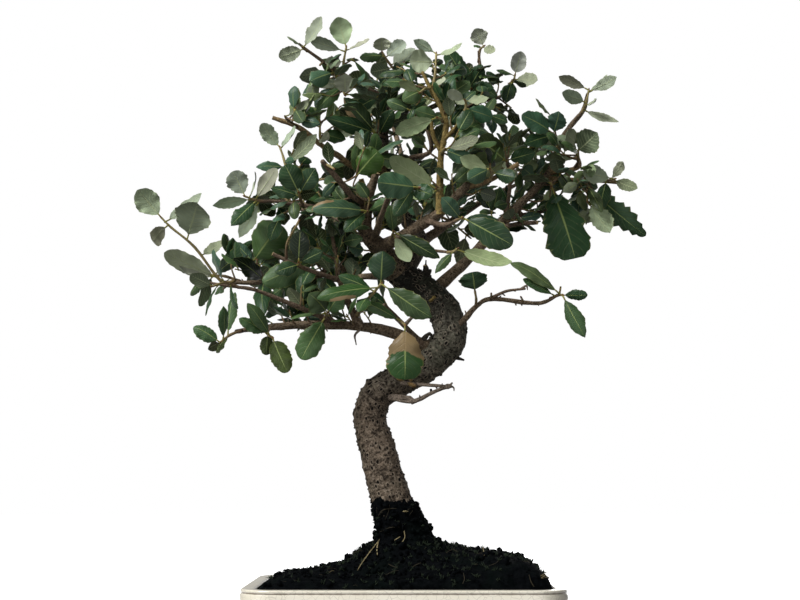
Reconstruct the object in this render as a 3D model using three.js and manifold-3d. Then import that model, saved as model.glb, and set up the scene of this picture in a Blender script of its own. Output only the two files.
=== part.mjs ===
// A cork oak bonsai growing in a rounded rectangular glazed pot.
// Millimetres, +Z up, bench at z = 0. The front of the tree looks along -Y.
import * as THREE from 'three';
import { mergeVertices } from 'three/addons/utils/BufferGeometryUtils.js';
import Module from 'manifold-3d';

const wasm = await Module();
wasm.setup();

// Clear space between pieces that touch.
const GAP = 0.3;

// Pot.
const POT_LENGTH = 240;
const POT_WIDTH = 184;
const POT_HEIGHT = 79;
const POT_CORNER = 26;
const POT_FOOT_HEIGHT = 8;
const POT_FLOOR = 8;
const RIM_WIDTH = 11;
const LIP_HEIGHT = 14;
const LIP_OVERHANG = 3;
const WALL_TAPER = 9;
const WALL_BEND_RISE = 28;
const INNER_BEND_DROP = 6;
const TIGHTEST_CORNER = 6;
const FOOT_LENGTH = 44;
const FOOT_WIDTH = 20;
const FOOT_INSET = 14;
const FOOT_OVERLAP = 2;
const DRAIN_RADIUS = 9;
const DRAIN_SPREAD = 58;
const DRAIN_SIDES = 12;

// Drain mesh laid over each hole.
const MESH_SIDE = 36;
const MESH_THICK = 1.2;
const MESH_SLOT = 7;
const MESH_BAR = 3;

// Soil. Mound rings: share of the way out to the pot's edge, height, and how much higher the right side
// lies. Collar rings: radius, height, and how far to the right of the trunk's foot.
const SOIL_EDGE = 73;
const COLLAR_FOOT_RADIUS = 25;
const MOUND_SPREAD = 62;
const MOUND_LUMP = 1.6;
const MOUND_RINGS = [[0.95, 80, 8], [0.82, 84, 13], [0.62, 86, 15], [0.4, 89.5, 15], [0.18, 97.5, 9]];
const COLLAR_RINGS = [[21.5, 110, 2], [19.5, 119, 0.5], [17.8, 130, -2.8], [17.4, 142, -6.5]];

// Leaves.
const BLADE_THICK = 0.8;
const PETIOLE_HALF = 0.8;
const PETIOLE_SHARE = 0.12;
const PETIOLE_ROOT = -0.02;
const SMALL_LEAF = 20;
const LONG_LEAF = 42;
const CLEAR_MARGIN = 0.5;
const EDGE_WAVE = 0.05;
const THIN_STEM = 2.3;

// Edges and faces that stand out less than this are smoothed away.
const FINEST_FORM = 0.2;
const WELD_DISTANCE = 1e-4;

const SOIL_SEED = 17;
const FIRST_SPRAY_SEED = 101;

// Seeded draws, so that the tree grows the same way each time.
function seededRandom(seed) {
  let state = seed >>> 0;
  return () => {
    state = (state + 0x6d2b79f5) >>> 0;
    let mixed = Math.imul(state ^ (state >>> 15), state | 1);
    mixed ^= mixed + Math.imul(mixed ^ (mixed >>> 7), mixed | 61);
    return ((mixed ^ (mixed >>> 14)) >>> 0) / 2 ** 32;
  };
}

// Routes are drawn as the tree is seen from the front, by an eye low in front of the pot that looks a
// little up: how far across, how far up, on a plane through the trunk, and how far behind that plane.
const EYE = new THREE.Vector3(-3, -1090, 155);
const SKETCH_MIDDLE_UP = 300;
const LOOK_UP_SINE = 0.1321;
const LOOK_UP_COSINE = 0.9912;
const MIDDLE_RISE = 145.2;
const DEPTH_SPREAD = 1.25;

function place([across, up, behind]) {
  const depth = DEPTH_SPREAD * behind;
  const rise = up - SKETCH_MIDDLE_UP;
  const reach = (depth - EYE.y) / (-EYE.y - LOOK_UP_SINE * rise);
  return new THREE.Vector3(
    EYE.x + reach * across,
    depth,
    EYE.z + reach * (MIDDLE_RISE + LOOK_UP_COSINE * rise),
  );
}

// Solids.
function solidFrom(points, faces) {
  const vertProperties = new Float32Array(points.flatMap((point) => [point.x, point.y, point.z]));
  const triVerts = new Uint32Array(faces.flat());
  return new wasm.Manifold(new wasm.Mesh({ numProp: 3, vertProperties, triVerts }));
}

function solidFromGeometry(geometry) {
  const bare = geometry.clone();
  bare.deleteAttribute('normal');
  bare.deleteAttribute('uv');
  const merged = mergeVertices(bare, WELD_DISTANCE);
  return new wasm.Manifold(new wasm.Mesh({
    numProp: 3,
    vertProperties: new Float32Array(merged.attributes.position.array),
    triVerts: new Uint32Array(merged.index.array),
  }));
}

function boxSolid(length, width, height, x, y, z) {
  return solidFromGeometry(new THREE.BoxGeometry(length, width, height).translate(x, y, z));
}

// Rings of equal count, each turning left round the way that they follow, with flat ends.
function loft(rings) {
  const count = rings[0].length;
  const faces = [];
  for (let ring = 0; ring + 1 < rings.length; ring += 1) {
    for (let step = 0; step < count; step += 1) {
      const here = ring * count + step;
      const next = ring * count + ((step + 1) % count);
      faces.push([here, next, next + count], [here, next + count, here + count]);
    }
  }
  const last = (rings.length - 1) * count;
  for (let step = 1; step + 1 < count; step += 1) {
    faces.push([0, step + 1, step], [last, last + step, last + step + 1]);
  }
  return solidFrom(rings.flat(), faces);
}

// A tube of flat-sided rings, square to the way it runs.
function tube(points, radii, sides) {
  const tangents = points.map((point, index) => {
    const before = points[Math.max(index - 1, 0)];
    const after = points[Math.min(index + 1, points.length - 1)];
    return after.clone().sub(before).normalize();
  });
  const start = Math.abs(tangents[0].z) < 0.9 ? new THREE.Vector3(0, 0, 1) : new THREE.Vector3(1, 0, 0);
  const sideways = start.cross(tangents[0]).normalize();
  const rings = points.map((point, index) => {
    const tangent = tangents[index];
    sideways.addScaledVector(tangent, -sideways.dot(tangent)).normalize();
    const upward = tangent.clone().cross(sideways);
    return Array.from({ length: sides }, (unused, step) => {
      const angle = (2 * Math.PI * step) / sides;
      return point.clone()
        .addScaledVector(sideways, radii[index] * Math.cos(angle))
        .addScaledVector(upward, radii[index] * Math.sin(angle));
    });
  });
  return loft(rings);
}

function curveOf(route) {
  return new THREE.CatmullRomCurve3(route.map(place), false, 'catmullrom', 0.5);
}

// A stem along a route, with a thickness at each point or one at each end, grown by extra all round.
function stemSolid({ route, radii, sides = radii[0] < THIN_STEM ? 4 : 5, steps = 1 }, extra = 0) {
  const curve = curveOf(route);
  const spans = (route.length - 1) * steps;
  const points = [];
  const widths = [];
  for (let index = 0; index <= spans; index += 1) {
    const share = index / spans;
    const spot = share * (radii.length - 1);
    const lower = Math.min(Math.floor(spot), radii.length - 2);
    points.push(curve.getPoint(share));
    widths.push(THREE.MathUtils.lerp(radii[lower], radii[lower + 1], spot - lower) + extra);
  }
  return tube(points, widths, sides);
}

// Pot: a lipped tray on four feet, with two drain holes.
const CORNER_STEPS = 5;

function roundedRing(inset, z) {
  const corner = Math.max(POT_CORNER - inset, TIGHTEST_CORNER);
  const centres = [[1, 1, 0], [-1, 1, 90], [-1, -1, 180], [1, -1, 270]];
  return centres.flatMap(([sideX, sideY, startDegrees]) => (
    Array.from({ length: CORNER_STEPS }, (unused, step) => {
      const angle = THREE.MathUtils.degToRad(startDegrees + (90 * step) / (CORNER_STEPS - 1));
      return new THREE.Vector3(
        sideX * (POT_LENGTH / 2 - inset - corner) + corner * Math.cos(angle),
        sideY * (POT_WIDTH / 2 - inset - corner) + corner * Math.sin(angle),
        z,
      );
    })
  ));
}

const POT_FLOOR_TOP = POT_FOOT_HEIGHT + POT_FLOOR;
const LIP_UNDERSIDE = POT_HEIGHT - LIP_HEIGHT;

function potSolid() {
  const rimRound = 2;
  const outside = loft([
    roundedRing(LIP_OVERHANG + WALL_TAPER, POT_FOOT_HEIGHT),
    roundedRing(LIP_OVERHANG + WALL_TAPER * 0.4, POT_FOOT_HEIGHT + WALL_BEND_RISE),
    roundedRing(LIP_OVERHANG + 1, LIP_UNDERSIDE - 1),
    roundedRing(rimRound / 2, LIP_UNDERSIDE),
    roundedRing(0, LIP_UNDERSIDE + rimRound),
    roundedRing(0, POT_HEIGHT - rimRound),
    roundedRing(rimRound, POT_HEIGHT),
  ]);
  const inside = loft([
    roundedRing(RIM_WIDTH + WALL_TAPER, POT_FLOOR_TOP),
    roundedRing(RIM_WIDTH, LIP_UNDERSIDE - INNER_BEND_DROP),
    roundedRing(RIM_WIDTH, POT_HEIGHT - rimRound),
    roundedRing(RIM_WIDTH - rimRound, POT_HEIGHT + 0.5),
  ]);
  let pot = outside.subtract(inside);
  for (const side of [-1, 1]) {
    const drain = new THREE.CylinderGeometry(DRAIN_RADIUS, DRAIN_RADIUS, 3 * POT_FLOOR, DRAIN_SIDES);
    drain.rotateX(Math.PI / 2).translate(side * DRAIN_SPREAD, 0, POT_FLOOR_TOP - POT_FLOOR / 2);
    pot = pot.subtract(solidFromGeometry(drain));
  }
  const footHeight = POT_FOOT_HEIGHT + FOOT_OVERLAP;
  for (const sideX of [-1, 1]) {
    for (const sideY of [-1, 1]) {
      pot = pot.add(boxSolid(
        FOOT_LENGTH,
        FOOT_WIDTH,
        footHeight,
        sideX * (POT_LENGTH / 2 - FOOT_INSET - POT_CORNER / 2 - FOOT_LENGTH / 2),
        sideY * (POT_WIDTH / 2 - FOOT_INSET - FOOT_WIDTH / 2),
        footHeight / 2,
      ));
    }
  }
  return pot;
}

function drainMeshSolid(side) {
  const x = side * DRAIN_SPREAD;
  const z = POT_FLOOR_TOP + GAP + MESH_THICK / 2;
  let mesh = boxSolid(MESH_SIDE, MESH_SIDE, MESH_THICK, x, 0, z);
  for (const column of [-1, 0, 1]) {
    const slotX = x + column * (MESH_SLOT + MESH_BAR);
    mesh = mesh.subtract(boxSolid(MESH_SLOT, MESH_SIDE - 2 * MESH_BAR, 3 * MESH_THICK, slotX, 0, z));
  }
  return mesh;
}

// Trunk and woody branches. Each route point is across, up and behind; radii run from end to end.
const TRUNK = {
  route: [
    [0, 58, 0], [1, 92, 0], [0, 116, 0], [-6, 140, 0], [-13, 162, 1], [-18, 181, 2], [-23, 198, 3],
    [-24, 210, 3], [-17, 225, 2], [3, 237, 0], [25, 252, -2], [39, 267, -4], [39, 281, -4],
    [32, 295, -2], [16, 310, 0], [2, 318, 0], [-3, 328, 0],
  ],
  radii: [15, 19, 17, 15.5, 14.8, 14, 13.4, 13.2, 13.4, 12.6, 13.6, 12.6, 12.4, 12.6, 12.2, 11, 9],
  sides: 10,
};

const BRANCHES = {
  leader: {
    route: [[-1, 322, 0], [14, 346, 12], [5, 366, 18], [-12, 404, 16], [-11, 443, 12], [0, 488, 8]],
    radii: [9, 7, 5.6, 4.2, 3.2, 1.6],
    sides: 6,
  },
  frontLeftLimb: {
    route: [[-2, 322, -2], [-20, 345, -12], [-28, 356, -16], [-27, 370, -18], [-27, 383, -19]],
    radii: [8, 6.2, 5.4, 4.8, 4.2],
    sides: 6,
  },
  frontLeftStub: { route: [[-27, 381, -19], [-31, 397, -22]], radii: [2.8, 2.2] },
  sawnStub: { route: [[-26, 379, -19], [-19, 402, -26]], radii: [3.4, 3] },
  frontRightLimb: {
    route: [[-19, 343, -12], [-8, 346, -24], [20, 362, -32], [33, 371, -37], [54, 392, -44]],
    radii: [5, 4.6, 4.2, 4, 3.2],
    sides: 6,
  },
  goldenStem: {
    route: [
      [32, 369, -37], [32, 394, -42], [33, 418, -46], [37, 439, -48], [34, 451, -48], [25, 468, -48],
      [18, 482, -50],
    ],
    radii: [3.2, 2.8, 2.5, 2.1, 1.9, 1.7, 1.5],
  },
  goldenFork: { route: [[33, 418, -46], [27, 430, -49], [25, 443, -50]], radii: [1.7, 1.4] },
  goldenSide: { route: [[35, 428, -47], [44, 438, -52], [53, 450, -54]], radii: [1.6, 1.2] },
  goldenCut: { route: [[52, 390, -43], [70, 395, -46], [95, 409, -50]], radii: [2.4, 1.8] },
  rightLimb: {
    route: [
      [22, 303, 2], [56, 334, 16], [82, 363, 24], [117, 399, 30], [130, 430, 28], [146, 451, 24],
      [150, 465, 22],
    ],
    radii: [5, 4.2, 3.8, 3.2, 2.4, 1.8, 1.4],
  },
  rightUpperFork: { route: [[119, 402, 30], [142, 406, 22], [142, 415, 20]], radii: [2, 1.8] },
  rightOuterFork: { route: [[118, 397, 30], [146, 396, 22], [176, 394, 14]], radii: [1.9, 1.4] },
  rightBackFork: { route: [[78, 359, 24], [98, 368, 40], [117, 371, 56]], radii: [1.9, 1.3] },
  rightCutFork: { route: [[78, 357, 23], [94, 361, 12], [110, 362, 4]], radii: [2, 1.6] },
  rightRiser: { route: [[84, 364, 24], [88, 392, 12], [86, 411, 4]], radii: [1.7, 1.2] },
  lowLeftLimb: {
    route: [
      [27, 256, 0], [18, 264, -6], [-6, 274, -13], [-33, 279, -16], [-75, 280, -20], [-106, 278, -24],
      [-131, 275, -26],
    ],
    radii: [5.4, 4.8, 4.2, 3.8, 3, 2.4, 2],
  },
  lowLeftRiser: {
    route: [[-33, 279, -16], [-42, 300, -22], [-49, 317, -26], [-51, 334, -28], [-54, 350, -30]],
    radii: [3, 2.4, 2, 1.7, 1.4],
  },
  thinLeftBranch: {
    route: [[-45, 279, -17], [-90, 298, -38], [-116, 308, -44], [-135, 311, -46], [-154, 314, -46]],
    radii: [2.2, 1.7, 1.4, 1.2, 1],
  },
  upperLeftBranch: {
    route: [
      [-10, 334, -6], [-28, 331, -2], [-61, 321, 6], [-86, 317, 10], [-110, 314, 12], [-142, 314, 12],
    ],
    radii: [3.8, 3.4, 2.8, 2.4, 2, 1.4],
  },
  innerBranch: { route: [[21, 261, -6], [4, 279, -18], [-13, 296, -28]], radii: [2.8, 2.2, 1.7] },
  innerTwig: { route: [[3, 279, -18], [14, 291, -24]], radii: [1.5, 1.2] },
  highLeftBranch: {
    route: [[-12, 402, 15], [-37, 407, 6], [-49, 415, 2], [-63, 424, -2], [-81, 438, -4], [-102, 446, -6]],
    radii: [3.2, 2.8, 2.5, 2.2, 2, 1.7],
  },
  lowRightBranch: {
    route: [
      [38, 274, -4], [50, 283, -12], [61, 295, -16], [73, 301, -18], [100, 298, -22], [114, 298, -24],
      [126, 304, -26],
    ],
    radii: [3, 2.4, 2.1, 1.9, 1.7, 1.6, 1.4],
  },
  lowRightTwig: { route: [[72, 301, -18], [85, 307, -26], [100, 309, -30]], radii: [1.3, 1] },
  midLeftBranch: {
    route: [[-27, 372, -18], [-44, 373, -26], [-79, 376, -32], [-100, 379, -34], [-112, 379, -36]],
    radii: [2.6, 2.1, 1.7, 1.4, 1.2],
  },
  slantTwig: { route: [[-28, 377, -19], [-37, 382, -36], [-49, 396, -50], [-62, 411, -58]], radii: [2.3, 2] },
  cutTwigLeft: { route: [[-49, 316, -26], [-78, 326, -44], [-102, 337, -50]], radii: [1.8, 1.3] },
  crossTwig: { route: [[-4, 347, -25], [18, 341, -42], [42, 338, -50]], radii: [1.7, 1.2] },
  topLeftBranch: {
    route: [[-8, 460, 10], [-30, 471, 2], [-41, 478, -2], [-59, 489, -8], [-81, 505, -15]],
    radii: [2.4, 2, 1.7, 1.4, 1.1],
  },
  greyBranch: { route: [[-12, 408, 15], [10, 414, 4], [25, 420, -6], [20, 443, -12]], radii: [2.8, 2, 1.7] },
  topRightBranch: {
    route: [[-11, 441, 12], [20, 452, 12], [50, 466, 8], [63, 480, 4], [63, 499, 2]],
    radii: [2.6, 2.1, 1.8, 1.5, 1.2],
  },
  topRightFork: { route: [[46, 464, 8], [70, 460, 18], [85, 466, 22], [90, 476, 22]], radii: [1.7, 1.2] },
  backLeftLimb: {
    route: [[0, 328, 4], [-20, 350, 34], [-50, 366, 64], [-84, 374, 90]],
    radii: [5, 3.8, 2.8, 1.8],
  },
  backRightLimb: {
    route: [[12, 342, 12], [34, 358, 44], [64, 378, 76], [92, 392, 102]],
    radii: [4.4, 3.6, 2.8, 1.8],
  },
  backHighLimb: {
    route: [[5, 366, 18], [6, 390, 50], [0, 420, 76], [-8, 446, 92]],
    radii: [3.8, 3, 2.4, 1.6],
  },
  backLowLimb: {
    route: [[20, 306, 6], [-4, 318, 40], [-40, 318, 72], [-76, 312, 94]],
    radii: [4, 3.2, 2.4, 1.6],
  },
  frontLimb: {
    route: [[-21, 348, -14], [-16, 364, -48], [-10, 380, -80], [-4, 396, -104]],
    radii: [3, 2.2, 1.8, 1.4],
  },
  frontLowLimb: {
    route: [[22, 363, -33], [36, 360, -62], [46, 364, -92]],
    radii: [2.6, 1.9, 1.3],
  },
  deadTwigLower: { route: [[-8, 222, -8], [10, 219, -20], [26, 226, -24], [38, 231, -25]], radii: [2, 1.1] },
  deadTwigUpper: { route: [[-4, 234, -6], [22, 232, -20], [38, 231, -25]], radii: [1.8, 1.1] },
  topStub: { route: [[18, 310, -2], [21, 323, -6], [20, 328, -8]], radii: [4, 2.6, 1.4] },
  innerSpur: { route: [[30, 264, -6], [27, 272, -8]], radii: [3, 1.2] },
  thorn: { route: [[40, 256, -4], [51, 252, -6]], radii: [2.4, 0.8] },
};

function woodSolid(extra = 0) {
  let wood = stemSolid(TRUNK, extra);
  for (const branch of Object.values(BRANCHES)) {
    wood = wood.add(stemSolid(branch, extra));
  }
  return wood;
}

// Soil: fills the pot, mounds towards the trunk and clings to its foot as a steep collar.
function soilSolid(wood) {
  const random = seededRandom(SOIL_SEED);
  const foot = place([0, 108, 0]);
  const edge = roundedRing(RIM_WIDTH + GAP, 0);
  const collarRing = (radius, z, across) => edge.map((corner) => {
    const angle = Math.atan2(corner.y, corner.x);
    return new THREE.Vector3(foot.x + across + radius * Math.cos(angle), radius * Math.sin(angle), z);
  });
  const moundRing = (share, z, rightRise) => {
    const round = collarRing(COLLAR_FOOT_RADIUS + MOUND_SPREAD * share, 0, 0);
    return edge.map((corner, index) => {
      const point = round[index].clone().lerp(corner, share ** 2);
      point.z = z + MOUND_LUMP * (2 * random() - 1);
      point.z += rightRise * Math.max(0, corner.x / (POT_LENGTH / 2));
      return point;
    });
  };
  const wallRings = [
    roundedRing(RIM_WIDTH + WALL_TAPER + GAP, POT_FLOOR_TOP + GAP),
    roundedRing(RIM_WIDTH + GAP, LIP_UNDERSIDE - INNER_BEND_DROP),
    roundedRing(RIM_WIDTH + GAP, SOIL_EDGE),
  ];
  let soil = loft([
    ...wallRings,
    ...MOUND_RINGS.map((ring) => moundRing(...ring)),
    ...COLLAR_RINGS.map((ring) => collarRing(...ring)),
  ]);
  for (const side of [-1, 1]) {
    const recess = MESH_SIDE + 2 * GAP;
    const height = MESH_THICK + 2 * GAP;
    soil = soil.subtract(
      boxSolid(recess, recess, 2 * height, side * DRAIN_SPREAD, 0, POT_FLOOR_TOP + GAP),
    );
  }
  return soil.subtract(wood);
}

// Sprays: a leafy stem, or several off one start, with its leaves. A leaf entry is the share of the stem
// where it grows, its tip (across, up, behind), its width, and how far it is turned about its midrib
// (0 shows its upper side to the front, 180 its underside). "more" leaves follow by the spiral rule.
const SPRAYS = {
  outer_left_tip: [{
    route: [[-132, 315, 12], [-144, 316, 8], [-164, 342, 2], [-183, 358, -2], [-191, 366, -4]],
    radii: [1.5, 0.8],
    leaves: [
      [1, -210, 388, -8, 21, 178], [0.88, -159, 386, 8, 13, 150], [0.58, -162, 379, -14, 31, 184],
      [0.8, -199, 345, -22, 14, 140], [0.27, -189, 338, -10, 17, 170], [0.44, -141, 348, 12, 11, 155],
      [0.29, -178, 326, -18, 9, 200],
    ],
    more: 0,
  }],
  upper_left_end: [{
    route: [[-128, 315, 12], [-140, 319, 20], [-151, 320, 26]],
    radii: [1.4, 0.9],
    leaves: [
      [0.9, -116, 348, -2, 14, 20], [1, -168, 304, 30, 9, 30], [0.3, -151, 307, 0, 12, 60],
    ],
    more: 1,
  }],
  thin_left_end: [{
    route: [[-128, 310, -45], [-140, 314, -50], [-150, 311, -54]],
    radii: [1.2, 0.8],
    leaves: [
      [0.7, -155, 287, -58, 9, 70], [0.3, -131, 293, -56, 8, 60], [1, -168, 320, -60, 12, 160],
    ],
    more: 1,
  }],
  low_left_tip: [{
    route: [[-126, 276, -26], [-136, 272, -30], [-144, 266, -32]],
    radii: [1.4, 0.8],
    leaves: [
      [1, -165, 279, -34, 13, 20], [0.85, -141, 295, -42, 10, 40], [0.6, -133, 307, -24, 10, -30],
      [0.5, -147, 258, -22, 9, 40], [0.95, -154, 260, -38, 8, 150],
    ],
    more: 0,
  }],
  low_left_hanging: [{
    route: [[-104, 278, -24], [-106, 273, -30], [-102, 270, -36]],
    radii: [1.4, 0.9],
    leaves: [
      [0.5, -107, 256, -30, 11, -10], [1, -90, 242, -40, 17, 5], [0.6, -128, 286, -38, 12, 30],
      [0.8, -121, 297, -46, 12, 15],
    ],
    more: 0,
  }],
  low_left_middle: [{
    route: [[-64, 280, -19], [-60, 286, -26], [-58, 290, -34]],
    radii: [1.5, 0.9],
    leaves: [
      [0.5, -79, 253, -36, 21, 0], [1, -72, 305, -44, 20, 10], [0.9, -46, 306, -40, 16, 0],
      [0.8, -88, 284, -42, 7, 60],
    ],
    more: 0,
  }],
  big_green_left: [{
    route: [[-60, 321, 6], [-62, 328, -4], [-66, 331, -12]],
    radii: [1.6, 0.9],
    leaves: [
      [1, -110, 314, -20, 22, 12], [0.4, -107, 300, -10, 15, 30], [0.8, -50, 352, -8, 14, 20],
    ],
    more: 1,
  }],
  upright_left: [{
    route: [[-108, 314, 12], [-112, 323, 2], [-118, 330, -4]],
    radii: [1.5, 0.9],
    leaves: [
      [1, -96, 361, -16, 31, 6], [0.7, -84, 350, 6, 16, 0], [0.9, -132, 346, -2, 12, 20],
      [0.1, -131, 333, -22, 15, 10], [0.05, -110, 292, -34, 15, 0],
    ],
    more: 0,
  }],
  left_shoulder_tip: [{
    route: [[-108, 379, -35], [-116, 380, -38], [-124, 383, -40]],
    radii: [1.3, 0.8],
    leaves: [
      [1, -134, 403, -44, 18, 172], [0.8, -114, 402, -52, 8, 110], [0.6, -150, 376, -42, 10, 150],
      [0.4, -135, 360, -50, 14, 10], [0.3, -129, 350, -30, 12, 180], [0.5, -99, 406, -34, 13, 175],
    ],
    more: 0,
  }],
  left_shoulder_pair: [{
    route: [[-78, 376, -32], [-80, 382, -40], [-81, 386, -46]],
    radii: [1.5, 0.9],
    leaves: [
      [1, -92, 408, -52, 20, 0], [0.8, -68, 407, -50, 17, 5], [0.6, -104, 392, -54, 12, 20],
    ],
    more: 0,
  }],
  left_middle_twig: [{
    route: [[-90, 378, -33], [-90, 398, -28], [-93, 413, -26], [-96, 422, -26]],
    radii: [1.3, 0.8],
    leaves: [
      [1, -111, 441, -30, 13, 185], [0.98, -83, 438, -18, 8, 130], [0.55, -66, 432, -30, 12, 165],
      [0.5, -115, 407, -30, 9, 10], [0.6, -85, 412, -40, 7, 20],
    ],
    more: 0,
  }],
  high_left_cut: [{
    route: [[-81, 438, -4], [-90, 444, -12], [-92, 447, -18]],
    radii: [1.3, 0.8],
    leaves: [
      [1, -71, 459, -20, 11, 140],
    ],
    more: 0,
  }],
  high_left_twig: [{
    route: [[-63, 424, -2], [-64, 432, -8], [-64, 443, -12]],
    radii: [1.4, 0.8],
    leaves: [
      [1, -78, 454, -16, 12, 15], [0.8, -80, 444, -22, 10, 180], [0.4, -57, 429, -18, 12, 180],
      [0.6, -44, 432, -14, 12, 20],
    ],
    more: 0,
  }],
  high_left_broad: [{
    route: [[-41, 478, -2], [-46, 470, -12], [-44, 464, -18]],
    radii: [1.3, 0.9],
    leaves: [
      [0.4, -67, 452, -20, 12, 10], [0.3, -69, 474, -14, 9, 170], [1, -44, 481, -24, 19, 180],
    ],
    more: 1,
  }],
  top_left_tip: [{
    route: [[-74, 499, -13], [-77, 501, -16], [-78, 502, -18]],
    radii: [1.1, 0.8],
    leaves: [
      [1, -62, 526, -20, 14, 150], [0.9, -90, 511, -26, 6, 60], [0.5, -97, 494, -18, 13, 170],
    ],
    more: 0,
  }, {
    route: [[-61, 490, -9], [-63, 489, -13], [-64, 488, -16]],
    radii: [1, 0.8],
    leaves: [
      [1, -79, 478, -22, 11, 150],
    ],
    more: 0,
  }],
  top_left_round: [{
    route: [[-46, 481, -3], [-45, 491, -8], [-43, 502, -10]],
    radii: [1.3, 0.8],
    leaves: [
      [1, -50, 526, -12, 19, 175], [0.85, -73, 509, -12, 11, 165], [0.9, -24, 508, -12, 8, 130],
      [0.5, -60, 490, -16, 10, 180],
    ],
    more: 0,
  }],
  top_centre_left: [{
    route: [[-1, 480, 8], [-9, 490, 4], [-14, 498, 0]],
    radii: [1.3, 0.8],
    leaves: [
      [1, -15, 510, -4, 15, 178], [0.75, 4, 507, 4, 13, 172], [0.8, -32, 494, -6, 10, 10],
      [0.4, 12, 499, 12, 15, 170], [0.3, -24, 482, -4, 14, 170],
    ],
    more: 0,
  }],
  top_centre: [{
    route: [[25, 467, -48], [28, 480, -44], [29, 497, -42]],
    radii: [1.3, 0.8],
    leaves: [
      [1, 11, 508, -42, 9, 150], [0.97, 50, 505, -46, 8, 140], [0.8, 8, 491, -38, 21, 175],
      [0.3, 36, 474, -58, 10, 170],
    ],
    more: 0,
  }],
  golden_top: [{
    route: [[24, 469, -48], [20, 469, -54], [16, 466, -58]],
    radii: [1.2, 0.9],
    leaves: [
      [1, -1, 475, -66, 9, 140], [0.6, 2, 460, -56, 14, 0],
    ],
    more: 0,
  }],
  top_dark: [{
    route: [[50, 466, 8], [54, 468, -1], [57, 469, -7]],
    radii: [1.5, 0.9],
    leaves: [
      [1, 37, 500, -12, 18, 5], [0.6, 66, 488, -8, 14, 10], [0.5, 74, 470, -16, 13, 10],
    ],
    more: 1,
  }],
  top_right_twig: [{
    route: [[63, 490, 3], [64, 500, 2], [67, 503, 2]],
    radii: [1.3, 0.8],
    leaves: [
      [1, 60, 517, 0, 15, 180], [0.6, 60, 506, 4, 6, 30], [0.9, 76, 498, -2, 9, 175],
    ],
    more: 0,
  }],
  right_top_tip: [{
    route: [[88, 473, 22], [91, 476, 18], [92, 480, 16]],
    radii: [1.3, 0.8],
    leaves: [
      [1, 97, 499, 12, 14, 185], [0.6, 110, 476, 8, 13, 178], [0.9, 77, 484, 14, 6, 30],
      [0.4, 84, 460, 8, 14, 10],
    ],
    more: 1,
  }],
  centre_high: [{
    route: [[51, 449, -54], [53, 456, -56], [52, 460, -60]],
    radii: [1.2, 0.8],
    leaves: [
      [1, 38, 467, -64, 9, 150], [0.9, 71, 461, -60, 10, 150], [0.5, 44, 462, -54, 7, 180],
      [0.3, 74, 446, -54, 14, 10],
    ],
    more: 0,
  }],
  long_pale_left: [{
    route: [[34, 443, -48], [33, 445, -56], [30, 446, -60]],
    radii: [1.3, 0.9],
    leaves: [
      [1, -4, 434, -66, 14, 165], [0.4, 12, 452, -62, 12, 10],
    ],
    more: 0,
  }],
  centre_long_pale: [{
    route: [[32, 390, -41], [31, 388, -50], [29, 389, -55]],
    radii: [1.4, 0.9],
    leaves: [
      [1, -9, 414, -66, 17, 168], [0.5, 4, 384, -62, 11, 175],
    ],
    more: 0,
  }],
  golden_side: [{
    route: [[33, 416, -46], [35, 420, -54], [36, 421, -58]],
    radii: [1.3, 0.9],
    leaves: [
      [1, 63, 430, -64, 12, 160], [0.6, 58, 413, -62, 13, 10],
    ],
    more: 0,
  }],
  centre_olive: [{
    route: [[86, 408, 5], [86, 412, -6], [85, 411, -14]],
    radii: [1.5, 0.9],
    leaves: [
      [1, 62, 428, -26, 27, 4], [0.8, 60, 414, -28, 11, 150], [0.6, 68, 402, -18, 10, 20],
      [0.5, 108, 418, -14, 14, 10],
    ],
    more: 0,
  }],
  front_bluish: [{
    route: [[-8, 386, -88], [4, 389, -102], [15, 390, -110]],
    radii: [1.4, 0.9],
    leaves: [
      [1, -18, 394, -118, 21, 3], [0.7, 26, 384, -112, 14, 10], [0.8, -4, 370, -120, 12, 0],
    ],
    more: 0,
  }],
  front_low: [{
    route: [[42, 362, -78], [46, 364, -94], [50, 366, -104]],
    radii: [1.3, 0.9],
    leaves: [
      [0.8, 80, 361, -100, 12, 25], [0.8, 34, 382, -108, 13, 0], [1, 90, 344, -112, 21, 8],
    ],
    more: 0,
  }],
  golden_cut_leaves: [{
    route: [[72, 396, -46], [74, 402, -54], [72, 405, -60]],
    radii: [1.4, 0.9],
    leaves: [
      [1, 54, 396, -66, 14, 0], [0.8, 48, 414, -62, 12, 170], [0.5, 92, 398, -64, 12, 10],
    ],
    more: 0,
  }],
  right_shoulder: [{
    route: [[128, 425, 28], [125, 431, 18], [121, 434, 12]],
    radii: [1.5, 0.9],
    leaves: [
      [1, 97, 448, 2, 19, 8], [0.8, 128, 452, 4, 18, 12], [0.4, 112, 414, 6, 10, 130],
      [0.6, 100, 426, 0, 14, 10],
    ],
    more: 1,
  }],
  right_tip: [{
    route: [[145, 449, 24], [149, 458, 20], [151, 468, 18]],
    radii: [1.4, 0.8],
    leaves: [
      [1, 127, 479, 14, 10, 150], [0.95, 166, 480, 22, 8, 120], [0.9, 173, 477, 10, 11, 170],
      [0.5, 130, 466, 8, 12, 168], [0.2, 175, 443, 12, 9, 160], [0.4, 158, 460, 6, 7, 150],
    ],
    more: 0,
  }],
  right_broad: [{
    route: [[140, 406, 23], [143, 412, 12], [141, 418, 6]],
    radii: [1.5, 0.9],
    leaves: [
      [1, 158, 434, 0, 23, 178], [0.5, 114, 414, 2, 9, 140], [0.8, 130, 424, -6, 8, 20],
    ],
    more: 0,
  }],
  right_outer_tip: [{
    route: [[160, 395, 18], [168, 396, 12], [172, 397, 8]],
    radii: [1.3, 0.8],
    leaves: [
      [0.9, 146, 403, -4, 16, 168], [0.5, 179, 411, 2, 9, 165], [0.8, 190, 389, 2, 12, 170],
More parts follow.
